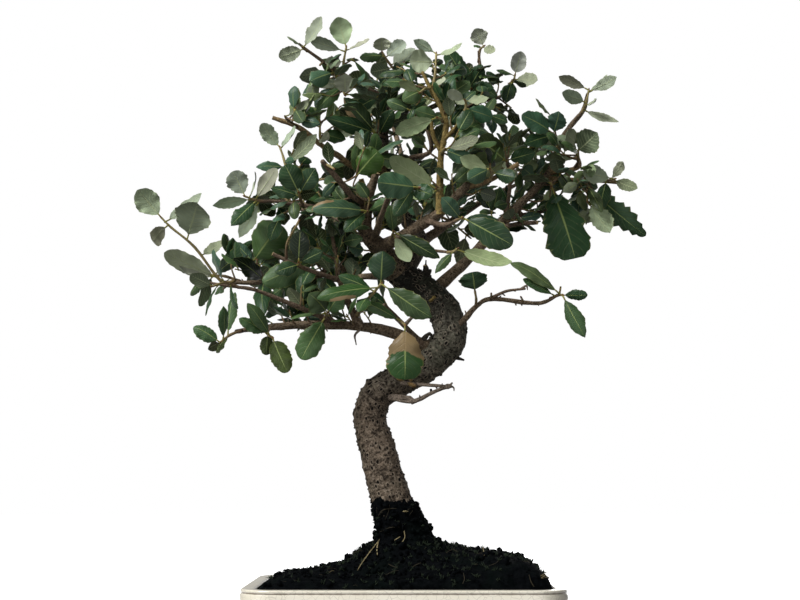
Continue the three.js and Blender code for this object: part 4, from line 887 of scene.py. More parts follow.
UPPER_FACE, UNDER_FACE, STEM_BARK = range(3)
PETIOLE_TINT = "#83803f"

BLADE_ROWS = 25
SMALL_BLADE_ROWS = 12
BLADE_COLUMNS = np.array([-1, -0.75, -0.42, -0.09, 0, 0.09, 0.42, 0.75, 1])
LEAST_HALF_WIDTH = 0.35
RIB_DEPTH = 0.35
# Blades narrower than this have a slimmer midrib.
FULL_RIB_WIDTH = 14
# The heights of a margin's waves and of the puffs between side veins, as shares of the leaf's width.
RIPPLE = 0.06
PUFF = 0.012
STALK_RADIUS = 0.75
# A short leaf's stalk is slimmer: this share of its length.
STALK_SHARE = 0.028
# A stalk's radius from its foot to where it runs into the blade, as shares of it.
STALK_RADII = np.array([1.2, 1, 0.9, 0.9, 0.5])
STALK_SIDES = 6
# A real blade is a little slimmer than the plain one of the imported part, which has no waves or curl.
SHOWN_WIDTH_SHARE = 0.95


def blade_shares(rows):
    """Stations along a blade, a little closer together near its ends."""
    even = np.linspace(0, 1, rows)
    return 0.45 * even + 0.55 * (1 - np.cos(math.pi * even)) / 2


def margin_teeth(shares, chance):
    """How far the margins stand out along a blade: shallow lobes with small teeth that point to the tip."""
    teeth = np.zeros((len(shares), len(BLADE_COLUMNS)))
    count = chance.uniform(5.2, 7.4)
    depth = chance.uniform(0.03, 0.085)
    lobes = chance.uniform(1.5, 3.0)
    for side in (-1, 1):
        start = chance.random()
        tooth = depth * ((shares * count + start) % 1 - 0.5)
        lobe = 0.02 * np.sin(2 * math.pi * (lobes * shares + start))
        teeth[:, BLADE_COLUMNS == side] = ((tooth + lobe) * np.sin(math.pi * shares) ** 0.5)[:, None]
    return teeth


def leaf_frame(leaf):
    length = np.linalg.norm(leaf.tip - leaf.base)
    along = (leaf.tip - leaf.base) / length
    return length, along, np.cross(leaf.face, along)


def leaf_spot(leaf, share, aside):
    """A spot of the leaf's middle sheet: arched along its length and folded at its midrib."""
    length, along, leftward = leaf_frame(leaf)
    height = leaf.arch * length * 4 * share * (1 - share) - leaf.cup * abs(aside)
    return leaf.base + along * share * length + leftward * aside + leaf.face * height


def shown_fold(leaf):
    """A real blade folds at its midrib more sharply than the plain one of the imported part."""
    return 0.08 + 1.4 * leaf.cup


def add_leaf(gathered, leaf, chance, rows=BLADE_ROWS):
    """A blade with a toothed, waved margin and a stout midrib, on its petiole."""
    length, along, leftward = leaf_frame(leaf)
    shares = blade_shares(rows)
    fullness = chance.uniform(0.5, 0.92)
    base_fullness = fullness * chance.uniform(0.85, 1.4)
    plain_shape = (base_fullness, fullness, SHOWN_WIDTH_SHARE)
    base_fullness, fullness, width_share = SPOON_SHAPES.get(leaf.tone, plain_shape)
    widest = base_fullness / (base_fullness + fullness)
    half = width_share * leaf.width / 2 * shares**base_fullness * (1 - shares) ** fullness
    half /= widest**base_fullness * (1 - widest) ** fullness
    half = np.maximum(half, LEAST_HALF_WIDTH)
    margin = np.abs(BLADE_COLUMNS) == 1
    teeth = margin_teeth(shares, chance) * leaf.width * TOOTHING.get(leaf.tone, 1)
    aside = half[:, None] * BLADE_COLUMNS + teeth * margin * BLADE_COLUMNS
    share = (PETIOLE_SHARE + (1 - PETIOLE_SHARE) * shares)[:, None] + np.zeros_like(aside)

    height = leaf.arch * length * 4 * share * (1 - share) - shown_fold(leaf) * np.abs(aside)
    height -= chance.uniform(-0.03, 0.1) * length * np.clip(3 * share - 2, 0, 1) ** 2
    height -= chance.uniform(-0.01, 0.09) * leaf.width * BLADE_COLUMNS**4 * np.sin(math.pi * shares)[:, None]
    waves = chance.uniform(1.6, 3.2)
    for side in (-1, 1):
        phase = chance.uniform(0, 2 * math.pi)
        ripple = np.sin(2 * math.pi * waves * shares + phase)[:, None] * np.sin(math.pi * shares)[:, None]
        height += RIPPLE * leaf.width * ripple * (BLADE_COLUMNS * side > 0) * BLADE_COLUMNS**2
    puff = np.abs(np.sin(math.pi * SIDE_VEIN_PAIRS * (shares[:, None] - VEIN_SWEEP * np.abs(BLADE_COLUMNS))))
    height += PUFF * leaf.width * puff * (np.abs(BLADE_COLUMNS) < 0.9) * (np.abs(BLADE_COLUMNS) > 0.2)

    twist = chance.uniform(-0.3, 0.3) * (shares - 0.5)[:, None]
    across = aside * np.cos(twist) - height * np.sin(twist)
    raised = aside * np.sin(twist) + height * np.cos(twist)
    sheet = (
        leaf.base
        + share[..., None] * length * along
        + across[..., None] * leftward
        + raised[..., None] * leaf.face
    )
    thick = BLADE_THICK / 2 * ~margin * np.minimum(1, 6 * np.sin(math.pi * shares))[:, None]
    rib = RIB_DEPTH * (BLADE_COLUMNS == 0) * (1 - 0.6 * shares)[:, None] * min(1, leaf.width / FULL_RIB_WIDTH)
    upper = sheet + (thick - 0.35 * rib)[..., None] * leaf.face
    under = sheet - (thick + rib)[..., None] * leaf.face

    columns = len(BLADE_COLUMNS)
    numbers = np.arange(rows * columns).reshape(rows, columns)
    inner = numbers[:, 1:-1]
    under_numbers = numbers.copy()
    under_numbers[:, 1:-1] = rows * columns + np.arange(inner.size).reshape(inner.shape)
    points = np.concatenate([upper.reshape(-1, 3), under[:, 1:-1].reshape(-1, 3)])
    upper_faces = quads(numbers)
    under_faces = [tuple(reversed(face)) for face in quads(under_numbers)]

    number = chance.random()
    places = np.stack([shares[:, None] + 0 * aside, BLADE_COLUMNS + 0 * aside, number + 0 * aside], -1)
    places = np.concatenate([places.reshape(-1, 3), places[:, 1:-1].reshape(-1, 3)])
    # A blade is a little lighter and greyer towards one end: a painted sheen along its arch.
    upper_tint, under_tint = leaf_tints(leaf.tone, chance)
    upper_tint = upper_tint * (1 + chance.uniform(-0.2, 0.5) * (places[:, :1] - 0.5))
    scorch = SCORCHES.get(leaf.tone, lambda along, aside: -1 + 0 * along)(places[:, 0], places[:, 1])
    start = gathered.count
    gathered.add(points, upper_faces + under_faces, UPPER_FACE, leaf_place=places, upper_tint=upper_tint,
                 under_tint=under_tint, scorch=scorch[:, None])
    gathered.finishes[-len(under_faces):] = [UNDER_FACE] * len(under_faces)
    gathered.sharp.update(start + corner for corner in numbers[:, [0, -1]].ravel())

    stations = np.linspace(-0.02, PETIOLE_SHARE + 0.03, len(STALK_RADII))
    stalk = np.array([leaf_spot(leaf, at, 0) for at in stations])
    add_tube(gathered, stalk, min(STALK_RADIUS, STALK_SHARE * length) * STALK_RADII, STALK_SIDES, STEM_BARK,
             tint=linear(PETIOLE_TINT))


def quads(numbers):
    """Four-sided faces over a grid of point numbers, facing up where its rows run along and columns left."""
    here = numbers[:-1, :-1]
    ahead = numbers[1:, :-1]
    ahead_left = numbers[1:, 1:]
    left = numbers[:-1, 1:]
    return [tuple(face) for face in np.stack([here, ahead, ahead_left, left], -1).reshape(-1, 4).tolist()]


def leaf_tints(tone, chance):
    """The greens of one leaf, a little lighter or darker and yellower or bluer than its tone."""
    if tone == "":
        tone = PLAIN_TONES[chance.integers(len(PLAIN_TONES))]
    tints = []
    for hex_colour in TONES[tone]:
        colour = np.array(linear(hex_colour))
        colour[:3] *= chance.uniform(0.85, 1.18) * chance.normal(1, 0.05, 3).clip(0.85, 1.15)
        tints.append(colour)
    return tints


# Leaves that were drawn one by one, and leaves that follow the spiral rule.
GOLDEN_ANGLE = 137.5


def drawn_leaf(points, row, draw):
    share, across, up, behind, width, turn, *tone = row
    base = curve_point(points, share)
    tip = place((across, up, behind))
    along = unit(tip - base)
    face = turned(square_to(FRONT, along), along, turn)
    return Leaf(base, tip, face, FRONT, width, 0.03 + 0.07 * draw(), 0.3 * draw() - 0.05, (tone or [""])[0])


def spiral_leaf(points, number, count, spin, draw):
    share = 0.3 + 0.7 * (number + 0.3 + 0.7 * draw()) / count
    base = curve_point(points, share)
    angle = spin + math.radians(number * GOLDEN_ANGLE)
    along = off_stem(curve_tangent(points, share), angle, math.radians(48 + 26 * draw()))
    length = 25 + 13 * draw()
    outward = unit(base * (1, 1, 0))
    wanted = UP * 0.5 + outward * 0.7 + np.array([draw() - 0.5, draw() - 0.5, draw() - 0.5])
    face = square_to(wanted, along)
    width = length * (0.46 + 0.14 * draw())
    return Leaf(base, base + along * length, face, face, width, 0.02 + 0.1 * draw(), 0.3 * draw() - 0.05, "")


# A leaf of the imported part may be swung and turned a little, to pass clear of what is there, or left out.
SWINGS = (0, 5, -5, 10, -10, 15, -15, 21, -21, 28, -28)
TURNS = (0, 16, -16)
SAME_PLACE = 0.05


def swung_leaf(leaf, swing, turn):
    tip = leaf.tip + leaf.dodge * swing
    along = unit(tip - leaf.base)
    face = turned(square_to(leaf.face, along), along, turn)
    return leaf._replace(tip=tip, face=face)


def node_points(name):
    """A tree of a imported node's points, in the drawing's millimetres."""
    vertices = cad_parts[name].data.vertices
    tree = kdtree.KDTree(len(vertices))
    for vertex in vertices:
        tree.insert(Vector(np.array(vertex.co) / MM - SHIFT), vertex.index)
    tree.balance()
    return tree


def settled_leaf(leaf, packed_points):
    """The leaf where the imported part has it, found by the two corners at its tip, or None."""
    best, best_miss = None, SAME_PLACE
    for swing in SWINGS:
        for turn in TURNS:
            candidate = swung_leaf(leaf, swing, turn)
            half = candidate.face * CAD_BLADE_THICK / 2
            miss = max(packed_points.find(Vector(candidate.tip + side * half))[2] for side in (-1, 1))
            if miss < best_miss:
                best, best_miss = candidate, miss
    return best


STEM_TINTS = {
    "golden": ("#80704c", "#92875a"),
    "red": ("#604c3c", "#807149"),
}
GOLDEN_SPRAYS = (
    "outer_left_tip", "left_middle_twig", "top_centre", "golden_top", "centre_high", "long_pale_left",
    "centre_long_pale", "golden_side", "golden_cut_leaves", "right_top_tip", "high_left_twig",
    "long_pale_right", "top_left_round", "right_tip", "by_the_trunk", "bright_green_left",
)


def stem_tints(shares, name):
    """A stem's colours from its woody start to its green end."""
    old, young = STEM_TINTS["golden" if name in GOLDEN_SPRAYS else "red"]
    share = np.asarray(shares)[:, None]
    return np.array(linear(old)) * (1 - share) + np.array(linear(young)) * share


STEM_SIDES = 8
STEM_STEPS = 5
BUD_TINT = "#6a4a2c"
FIRST_DRAW_SEED = 101
FIRST_SPRAY_SEED = 1000
WITHERED_SEED = 21


def add_stem(gathered, stem, name):
    """A young stem, a little thicker at each node, ending in a bud."""
    points, widths = curve_run(stem.route, stem.radii, STEM_STEPS)
    widths = widths * (1 + 0.1 * np.cos(np.arange(len(widths)) * 2 * math.pi / STEM_STEPS))
    tints = stem_tints(np.linspace(0, 1, len(points)), name)
    add_tube(gathered, points, widths, STEM_SIDES, STEM_BARK, tint=np.repeat(tints, STEM_SIDES, axis=0))
    add_bud(gathered, points[-1], unit(points[-1] - points[-2]), 2.4 * widths[-1])


def add_bud(gathered, spot, direction, length):
    """A small pointed brown bud."""
    shares = np.array([-0.3, 0.0, 0.35, 0.7, 1.0])
    radii = length * np.array([0.2, 0.36, 0.38, 0.24, 0.03])
    add_tube(gathered, spot + shares[:, None] * length * direction, radii, 6, STEM_BARK,
             tint=linear(BUD_TINT))


def add_spray(number, name, stems):
    node = f"spray_{name}"
    packed_points = node_points(node)
    draw = seeded_random(FIRST_DRAW_SEED + number)
    chance = np.random.default_rng(FIRST_SPRAY_SEED + number)
    leaves = []
    for stem in stems:
        points = [place(spot) for spot in stem.route]
        spin = 2 * math.pi * draw()
        leaves += [drawn_leaf(points, row, draw) for row in stem.leaves]
        leaves += [spiral_leaf(points, rank, stem.more, spin, draw) for rank in range(stem.more)]
    gathered = Gathered()
    for stem in stems:
        add_stem(gathered, stem, name)
    for leaf in leaves:
        settled = settled_leaf(leaf, packed_points)
        if settled:
            add_leaf(gathered, settled, chance)
            grown_leaves.append(settled)
    piece = gathered.piece(f"foliage_{name}", LEAFY, "leaf")
    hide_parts(node)


grown_leaves = []
for number, (name, stems) in enumerate(SPRAYS.items()):
    add_spray(number, name, stems)

# Withered leaves that hang on the dead twig: base and tip (across, up, behind) and width.
WITHERED_LEAVES = [
    ((3, 235, -13), (-3.6, 238.5, -16), 4.5),
    ((6, 234, -15), (12.6, 231, -18), 4),
    ((8, 234, -16), (9.6, 240, -19), 3.6),
]


def add_withered_leaves():
    chance = np.random.default_rng(WITHERED_SEED)
    gathered = Gathered()
    for base, tip, width in WITHERED_LEAVES:
        base, tip = place(base), place(tip)
        face = turned(square_to(FRONT, unit(tip - base)), unit(tip - base), 30)
        leaf = Leaf(base, tip, face, face, width, 0.25, 0.3, "withered")
        add_leaf(gathered, leaf, chance, SMALL_BLADE_ROWS)
    gathered.piece("withered_leaves", LEAFY, "leaf")


add_withered_leaves()


# Wood. Bark patterns are laid out on an unrolled stem: every point of it knows where it would lie on a
# straight pole (bark_place), how old its bark is (age) and its colour (tint).
def oak_bark(add):
    """Cork oak bark at a young age: grey brown, finely cracked across, with rows of dark breathing pits and
    small corky warts on the old wood, and smooth on the young."""
    spot = add("Attribute", (), "Vector", attribute_name="bark_place")
    patches = add("TexNoise", {"Vector": spot, "Scale": per_mm(11), "Detail": 6.0, "Roughness": 0.65})
    grain = add("TexNoise", {"Vector": spot, "Scale": per_mm(1.6), "Detail": 3.0, "Roughness": 0.7})
    patch_shade = add("MapRange", [patches, 0.32, 0.68, 0.6, 1.4])
    grain_shade = add("MapRange", [grain, 0.36, 0.64, 0.5, 1.55])
    shade = add("Math", [patch_shade, grain_shade], operation="MULTIPLY")
    tint = add("Attribute", attribute_name="tint")
    colour = add("VectorMath", {0: tint, "Scale": shade}, operation="SCALE")
    # Algae and grey film that cling to the old bark.
    film = add("TexNoise", {"Vector": spot, "Scale": per_mm(26), "Detail": 3.0})
    film_share = add("MapRange", [film, 0.48, 0.68, 0.0, 0.45])
    # Fine cracks that run across the stem.
    flat = add("VectorMath", [spot, (1.0, 1.0, 2.6)], operation="MULTIPLY")
    cracks = add("TexNoise", {"Vector": flat, "Scale": per_mm(4), "Detail": 5.0, "Roughness": 0.75})
    crack_share = add("MapRange", [cracks, 0.5, 0.4, 0.0, 0.95])
    # Breathing pits, taller than wide, close together along lines across the stem.
    upright = add("VectorMath", [spot, (1.0, 1.0, 0.62)], operation="MULTIPLY")
    pits = add("TexVoronoi", {"Vector": upright, "Scale": per_mm(3.4), "Randomness": 1.0})
    pit_depth = add("MapRange", [pits, 0.19, 0.29, 1.0, 0.0], interpolation_type="SMOOTHSTEP")
    lines = add("TexNoise", {"Vector": flat, "Scale": per_mm(14), "Detail": 2.0})
    in_line = add("MapRange", [lines, 0.42, 0.5, 0.0, 1.0])
    pit_share = add("Math", [pit_depth, in_line], operation="MULTIPLY")
    # Each pit has a pale swollen lip.
    near_pit = add("Math", [pits, 0.37, 0.06], operation="COMPARE")
    lipped = add("Math", [near_pit, in_line], operation="MULTIPLY")
    lip_share = add("Math", [lipped, 0.42], operation="MULTIPLY")
    # All of these grow with the bark's age, and its warts are weathered nearly black.
    age = add("Attribute", (), "Fac", attribute_name="age")
    film_aged, crack_aged, pit_aged, lip_aged = [
        add("Math", [share, age], operation="MULTIPLY")
        for share in (film_share, crack_share, pit_share, lip_share)
    ]
    wart = add("Attribute", (), "Fac", attribute_name="wart")
    for share, over in (
        (film_aged, "#4a4c3c"), (crack_aged, "#1d1813"), (pit_aged, "#080605"), (lip_aged, "#a39583"),
        (wart, "#17120e"),
    ):
        colour = add("Mix", {"Factor": share, FIRST: colour, SECOND: linear(over)}, MIXED, data_type="RGBA")
    relief = add("Math", [cracks, pit_aged], operation="SUBTRACT")
    bump = add("Bump", {"Strength": 0.9, "Distance": 0.8 * MM, "Height": relief})
    return {"Base Color": colour, "Roughness": 0.88, "Specular IOR Level": 0.12, "Normal": bump}


# A wave pattern at scale 1 has a band in so much of a metre.
WAVE_BAND = 2 * math.pi / 20
SAWN_RING = 5.03


def sawn_oak(add):
    """Dry oak, sawn across: pale tan, with yearly rings and a darker heart. The rings are drawn wider than
    real ones, so that they show."""
    spot = add("Attribute", (), "Vector", attribute_name="bark_place")
    rings = add("TexWave", {"Vector": spot, "Scale": per_mm(SAWN_RING) * WAVE_BAND, "Distortion": 1.5}, "Fac",
                wave_type="RINGS", rings_direction="Z")
    tone = add("Mix", {"Factor": rings, FIRST: linear("#b59a6c"), SECOND: linear("#d8c193")}, MIXED,
               data_type="RGBA")
    bump = add("Bump", {"Strength": 0.4, "Distance": 0.2 * MM, "Height": rings})
    return {"Base Color": tone, "Roughness": 0.8, "Specular IOR Level": 0.15, "Normal": bump}


bark = made_finish("cork_oak_bark", oak_bark)
sawn_wood = made_finish("sawn_dry_oak", sawn_oak)

OLD_BARK, SAWN_END = range(2)
BARK_TINTS = {
    "trunk_low": "#706355",
    "trunk_bend": "#6a665a",
    "trunk_high": "#2a2b26",
    "grey": "#70614f",
    "red": "#6a5a4b",
    "golden": "#877547",
    "tan": "#7d6a4c",
    "dry": "#84776a",
    "weathered": "#2b2824",
    "leader": "#47423a",
}
GOLDEN_LIMBS = ("golden_stem", "golden_fork", "golden_side", "front_left_stub")
TAN_LIMBS = ("golden_cut", "right_upper_fork", "right_outer_fork", "high_left_branch")
DRY_LIMBS = ("dead_twig_lower", "dead_twig_upper", "inner_twig")
WEATHERED_LIMBS = ("top_stub", "inner_spur", "thorn")
LIMB_KINDS = {
    "golden": GOLDEN_LIMBS, "tan": TAN_LIMBS, "dry": DRY_LIMBS, "weathered": WEATHERED_LIMBS,
    "leader": ("leader",),
}
CUT_LIMBS = (
    "front_left_stub", "sawn_stub", "golden_fork", "golden_cut", "right_cut_fork", "cut_twig_left",
    "inner_twig", "high_left_branch", "cross_twig", "grey_branch", "top_stub", "right_riser",
)


def bark_places(points, radius, sides):
    """Where the points of a stem's rings would lie on a straight pole, in metres."""
    angles = np.linspace(0, 2 * math.pi, sides, endpoint=False)
    places = np.empty((len(points), sides, 3))
    places[..., 0] = radius * np.cos(angles)
    places[..., 1] = radius * np.sin(angles)
    places[..., 2] = run_lengths(points)[:, None]
    return places * MM


def lumps(places, size_mm, height_mm, seed):
    """Smooth lumps of about one size over a stem's rings, in millimetres."""
    shift = Vector((seed * 3.7, seed * 1.9, seed * 5.3))
    scale = per_mm(size_mm)
    flat = places.reshape(-1, 3)
    heights = [noise.noise(Vector(spot) * scale + shift) for spot in flat]
    return height_mm * np.array(heights).reshape(places.shape[:2])


# The bark is brown below, grey on the bend and nearly black above it, where it runs up under the crown:
# that darkness is in part painted shade.
TRUNK_TINT_KINDS = ("trunk_low", "trunk_bend", "trunk_bend", "trunk_high")
TRUNK_TINT_HEIGHTS = (215, 250, 272, 305)
TRUNK_SIDES = 124
TRUNK_STEPS = 26
WARTS = 900
WART_SEED = 5
# The straight pole that the trunk's bark is laid out on.
POLE_RADIUS = 14


def wart_heights(places, radius, chance):
    """Small corky warts scattered over the trunk, more of them low down."""
    heights = np.zeros(places.shape[:2])
    length = places[-1, 0, 2] / MM
    for wart in range(WARTS):
        angle = chance.uniform(0, 2 * math.pi)
        along = length * chance.random()
        centre = np.array([radius * math.cos(angle), radius * math.sin(angle), along]) * MM
        size = chance.uniform(0.65, 1.15) * MM
        near = np.abs(places[:, 0, 2] - centre[2]) < 3 * size
        apart = np.linalg.norm(places[near] - centre, axis=-1) / size
        heights[near] += chance.uniform(0.6, 1.5) * np.exp(-apart**2)
    return heights


def add_trunk():
    points, radii = curve_run(TRUNK.route, TRUNK.radii, TRUNK_STEPS)
    places = bark_places(points, POLE_RADIUS, TRUNK_SIDES)
    swell = lumps(places, 24, 1.3, 1) + lumps(places, 9, 0.8, 2) + lumps(places, 3.2, 0.6, 3)
    warts = wart_heights(places, POLE_RADIUS, np.random.default_rng(WART_SEED))
    swell += warts
    spots = tube_points(points, radii, TRUNK_SIDES, swell)
    stations = [linear(BARK_TINTS[kind]) for kind in TRUNK_TINT_KINDS]
    tint = np.stack([
        np.interp(spots[:, 2], TRUNK_TINT_HEIGHTS, channel) for channel in zip(*stations)
    ], axis=-1)
    gathered = Gathered()
    gathered.add(spots, ring_faces(len(points), TRUNK_SIDES), OLD_BARK,
                 bark_place=places.reshape(-1, 3), tint=tint, age=1.0,
                 wart=np.clip(warts, 0, 0.8).reshape(-1, 1))
    piece = gathered.piece("trunk_bark", [bark], "bark")
    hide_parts("trunk")


LIMB_STEPS = 8
# Limbs stouter than these at their start are grey, and have more sides.
STOUT = 2.9
STOUTEST_SIMPLE = 3.5
LIMB_SIDES = 16
TWIG_SIDES = 10
# The ring inside a limb's end lies this share of its radius out.
CAP_RIM = 0.82
FIRST_LIMB_SEED = 10
# A limb's small lumps have another seed than its large ones, so much higher.
SMALL_LUMP_SEEDS = 50
FIRST_SPUR_SEED = 300


def add_limb(gathered, name, branch, number):
    """A branch, flared where it leaves its parent, uneven along its length, with a few dry spurs."""
    points, radii = curve_run(branch.route, branch.radii, LIMB_STEPS)
    radius = branch.radii[0]
    sides = LIMB_SIDES if radius > STOUTEST_SIMPLE else TWIG_SIDES
    places = bark_places(points, radius, sides)
    along = places[:, 0, 2] / MM
    radii = radii * (1 + 0.3 * np.exp(-along / (2.2 * radius)))
    swell = lumps(places, 14, 0.16 * radius, number)
    swell += lumps(places, 3.5, 0.09 * radius, number + SMALL_LUMP_SEEDS)
    spots = tube_points(points, radii, sides, swell)
    wood_age = 0.1 if name in GOLDEN_LIMBS + TAN_LIMBS else min(1.0, radius / 9)
    kind = "grey" if radius > STOUT else "red"
    for limb_kind, names in LIMB_KINDS.items():
        if name in names:
            kind = limb_kind
    tint = linear(BARK_TINTS[kind])
    cut = name in CUT_LIMBS
    gathered.add(spots, ring_faces(len(points), sides, closed_ends=False), OLD_BARK,
                 bark_place=places.reshape(-1, 3), tint=tint, age=wood_age)
    last_ring = spots[-sides:]
    middle = last_ring.mean(axis=0)
    dome = 0.0 if cut else 0.8 * radii[-1]
    heading = unit(points[-1] - points[-2])
    rim = middle + (last_ring - middle) * CAP_RIM
    tip = middle + dome * heading
    cap_points = np.concatenate([last_ring, rim + dome * 0.5 * heading, [tip]])
    faces = [(s, (s + 1) % sides, sides + (s + 1) % sides, sides + s) for s in range(sides)]
    faces += [(sides + s, sides + (s + 1) % sides, 2 * sides) for s in range(sides)]
    cap_places = np.concatenate([places[-1], places[-1] * (CAP_RIM, CAP_RIM, 1), [[0, 0, places[-1, 0, 2]]]])
    gathered.add(cap_points, faces, SAWN_END if cut else OLD_BARK, bark_place=cap_places, tint=tint,
                 age=wood_age)
    if not cut:
        add_dry_spurs(gathered, points, radii, tint, number)


def add_dry_spurs(gathered, points, radii, tint, number):
    """Short dry spurs and bud scars, where small leaves once grew."""
    chance = np.random.default_rng(FIRST_SPUR_SEED + number)
    sideways, upward = tube_axes(points)
    for at in range(6, len(points) - 3, 5):
        if chance.random() < 0.45:
            continue
        angle = chance.uniform(0, 2 * math.pi)
        outward = sideways[at] * math.cos(angle) + upward[at] * math.sin(angle)
        length = chance.uniform(1.2, 3.4)
        lean = unit(outward + 0.5 * unit(points[at + 1] - points[at]))
        start = points[at] + outward * radii[at] * 0.6
        run = start + np.linspace(0, 1, 4)[:, None] * (length + 0.4 * radii[at]) * lean
        add_tube(gathered, run, np.array([0.8, 0.62, 0.6, 0.25]), 6, OLD_BARK,
                 tint=tint, age=0.2, bark_place=run[0] * MM)


KNOT_STEPS = 6
KNOT_SIDES = 8
KNOT_AGE = 0.5
FIRST_KNOT_SEED = 90
# Broken tips, knots and small spurs that stand on the limbs: route, thickness from start to end, bark.
KNOTS = [
    ([(34, 229.5, -25), (38, 230.8, -25), (41.4, 231.4, -25)], (1.4, 2.2, 1.6), "dry"),
    ([(40.4, 232, -25), (42, 234, -25)], (1.0, 0.6), "dry"),
    ([(41, 231, -25), (43, 229.8, -25), (43.2, 227.2, -25)], (0.8, 0.6, 0.3), "dry"),
    ([(25, 225.6, -24), (24.6, 229, -24)], (1.1, 0.9), "weathered"),
    ([(-7, 222.5, -9), (6, 221.5, -18), (11, 219, -20)], (2.3, 2.2, 1.9), "dry"),
    ([(9, 218.5, -20), (13, 219.5, -21)], (2.1, 1.7), "dry"),
    ([(19, 318, -5), (16.6, 322.4, -6), (14.6, 325.4, -6)], (2.0, 1.5, 0.4), "weathered"),
    ([(21, 318, -6), (23.4, 322, -7), (24.4, 324.6, -7)], (2.2, 1.9, 1.0), "weathered"),
    ([(20.4, 325, -8), (20.8, 332, -8)], (0.8, 0.5), "weathered"),
    ([(14, 261, -8), (18.6, 268.4, -9), (23.6, 273, -9), (26.4, 269, -9)], (3, 2.2, 1.5, 0.7), "weathered"),
    ([(24, 299, -13), (28, 302.6, -17)], (1.4, 1.2), "golden"),
    ([(-30, 279, -19), (-34, 283, -19), (-38, 283.6, -18)], (2.6, 3.4, 2.2), "grey"),
    ([(-31, 277, -17), (-36, 272, -18), (-35, 264, -18)], (1.1, 0.9, 0.5), "dry"),
    ([(-60, 279, -19), (-58, 275, -20)], (0.9, 0.5), "dry"),
    ([(-88, 281, -22), (-90, 285, -24)], (0.8, 0.4), "dry"),
    ([(92, 299, -21), (93, 295.6, -21)], (0.9, 0.5), "dry"),
    ([(110, 298.4, -24), (111, 295.4, -24)], (0.9, 0.5), "dry"),
    ([(96, 308.6, -29), (101, 311.4, -30), (102, 308, -30)], (0.8, 0.9, 0.4), "dry"),
    ([(127.4, 304, -28), (128.6, 311, -29)], (0.9, 0.7), "golden"),
]


def add_knots(gathered):
    for number, (route, radii, kind) in enumerate(KNOTS):
        points, widths = curve_run(route, radii, KNOT_STEPS)
        places = bark_places(points, radii[0], KNOT_SIDES)
        swell = lumps(places, 2.4, 0.22 * radii[0], FIRST_KNOT_SEED + number)
        spots = tube_points(points, widths, KNOT_SIDES, swell)
        gathered.add(spots, ring_faces(len(points), KNOT_SIDES), OLD_BARK, bark_place=places.reshape(-1, 3),
                     tint=linear(BARK_TINTS[kind]), age=KNOT_AGE)


def add_limbs():
    gathered = Gathered()
    for number, (name, branch) in enumerate(BRANCHES.items()):
        add_limb(gathered, name, branch, FIRST_LIMB_SEED + number)
    add_knots(gathered)
    gathered.piece("limbs", [bark, sawn_wood], "bark")


add_trunk()
add_limbs()


# Pot: a lipped tray on four feet, slip cast and glazed.
POT_CORNER_STEPS = 14
TIGHTEST_CORNER = 6
FOOT_LENGTH = 44
FOOT_WIDTH = 20
FOOT_INSET = 14
FOOT_CORNER = 4
FOOT_CORNER_STEPS = 6
QUARTERS = ((1, 1), (-1, 1), (-1, -1), (1, -1))


def rounded_ring(middle, reach_x, reach_y, radius, z, steps):
    """A rounded rectangle, turning left seen from above. Its corners' centres reach out from its middle."""
    ring = []
    for quarter, (side_x, side_y) in enumerate(QUARTERS):
        for step in range(steps):
            angle = math.radians(90 * quarter + 90 * step / (steps - 1))
            ring.append((
                middle[0] + side_x * reach_x + radius * math.cos(angle),
                middle[1] + side_y * reach_y + radius * math.sin(angle),
                z,
            ))
    return np.array(ring)


def pot_ring(inset, z):
    """A ring drawn in from the pot's outline."""
    corner = max(POT_CORNER - inset, TIGHTEST_CORNER)
    reach_x = POT_LENGTH / 2 - inset - corner
    reach_y = POT_WIDTH / 2 - inset - corner
    return rounded_ring((0, 0), reach_x, reach_y, corner, z, POT_CORNER_STEPS)


def crackle_glaze(add):
    """Ivory glaze over stoneware: glassy and bright, crazed with hair-fine grey cracks, with brown where it
    runs thin on an edge, and a painted brown shadow line under the rim's top. A crazed cell is about 5 mm
    across."""
    here = add("TexCoord", (), "Object")
    cloud = add("TexNoise", {"Vector": here, "Scale": per_mm(30), "Detail": 5.0})
    wander = add("TexNoise", {"Vector": here, "Scale": per_mm(9), "Detail": 2.0}, "Color")
    bent = add("VectorMath", [wander, (0.004, 0.004, 0.004), here], operation="MULTIPLY_ADD")
    cells = add("TexVoronoi", {"Vector": bent, "Scale": per_mm(5)}, feature="DISTANCE_TO_EDGE")
    hairlines = add("MapRange", [cells, 0.0, 0.05, 0.5, 0.0])
    # Only some of the cracks have taken up dirt.
    cracks = add("Math", [hairlines, cloud], operation="MULTIPLY")
    speck = add("TexNoise", {"Vector": here, "Scale": per_mm(4), "Detail": 3.0})
    # The thin-glaze share is real brown on the edges and a painted brown shadow line under the rim's top.
    thin = add("Attribute", (), "Fac", attribute_name="thin_glaze")
    worn_and_shaded = add("Math", [speck, 0.5, thin], operation="MULTIPLY_ADD")
    brown_and_shadow_share = add("MapRange", [worn_and_shaded, 0.75, 1.15, 0.0, 0.85])
    colour = linear("#dfd6c0")
    for share, over in ((cloud, "#f6f1e2"), (cracks, "#6f6652"), (brown_and_shadow_share, "#63503a")):
        colour = add("Mix", {"Factor": share, FIRST: colour, SECOND: linear(over)}, MIXED, data_type="RGBA")
    bump = add("Bump", {"Strength": 0.3, "Distance": 0.2 * MM, "Height": cracks}, invert=True)
    return {
        "Base Color": colour, "Roughness": 0.22, "IOR": 1.5, "Coat Weight": 0.4, "Coat Roughness": 0.08,
        "Normal": bump,
    }


# The wall's foot is drawn in from the pot's outline by so much.
WALL_FOOT_INSET = LIP_OVERHANG + WALL_TAPER
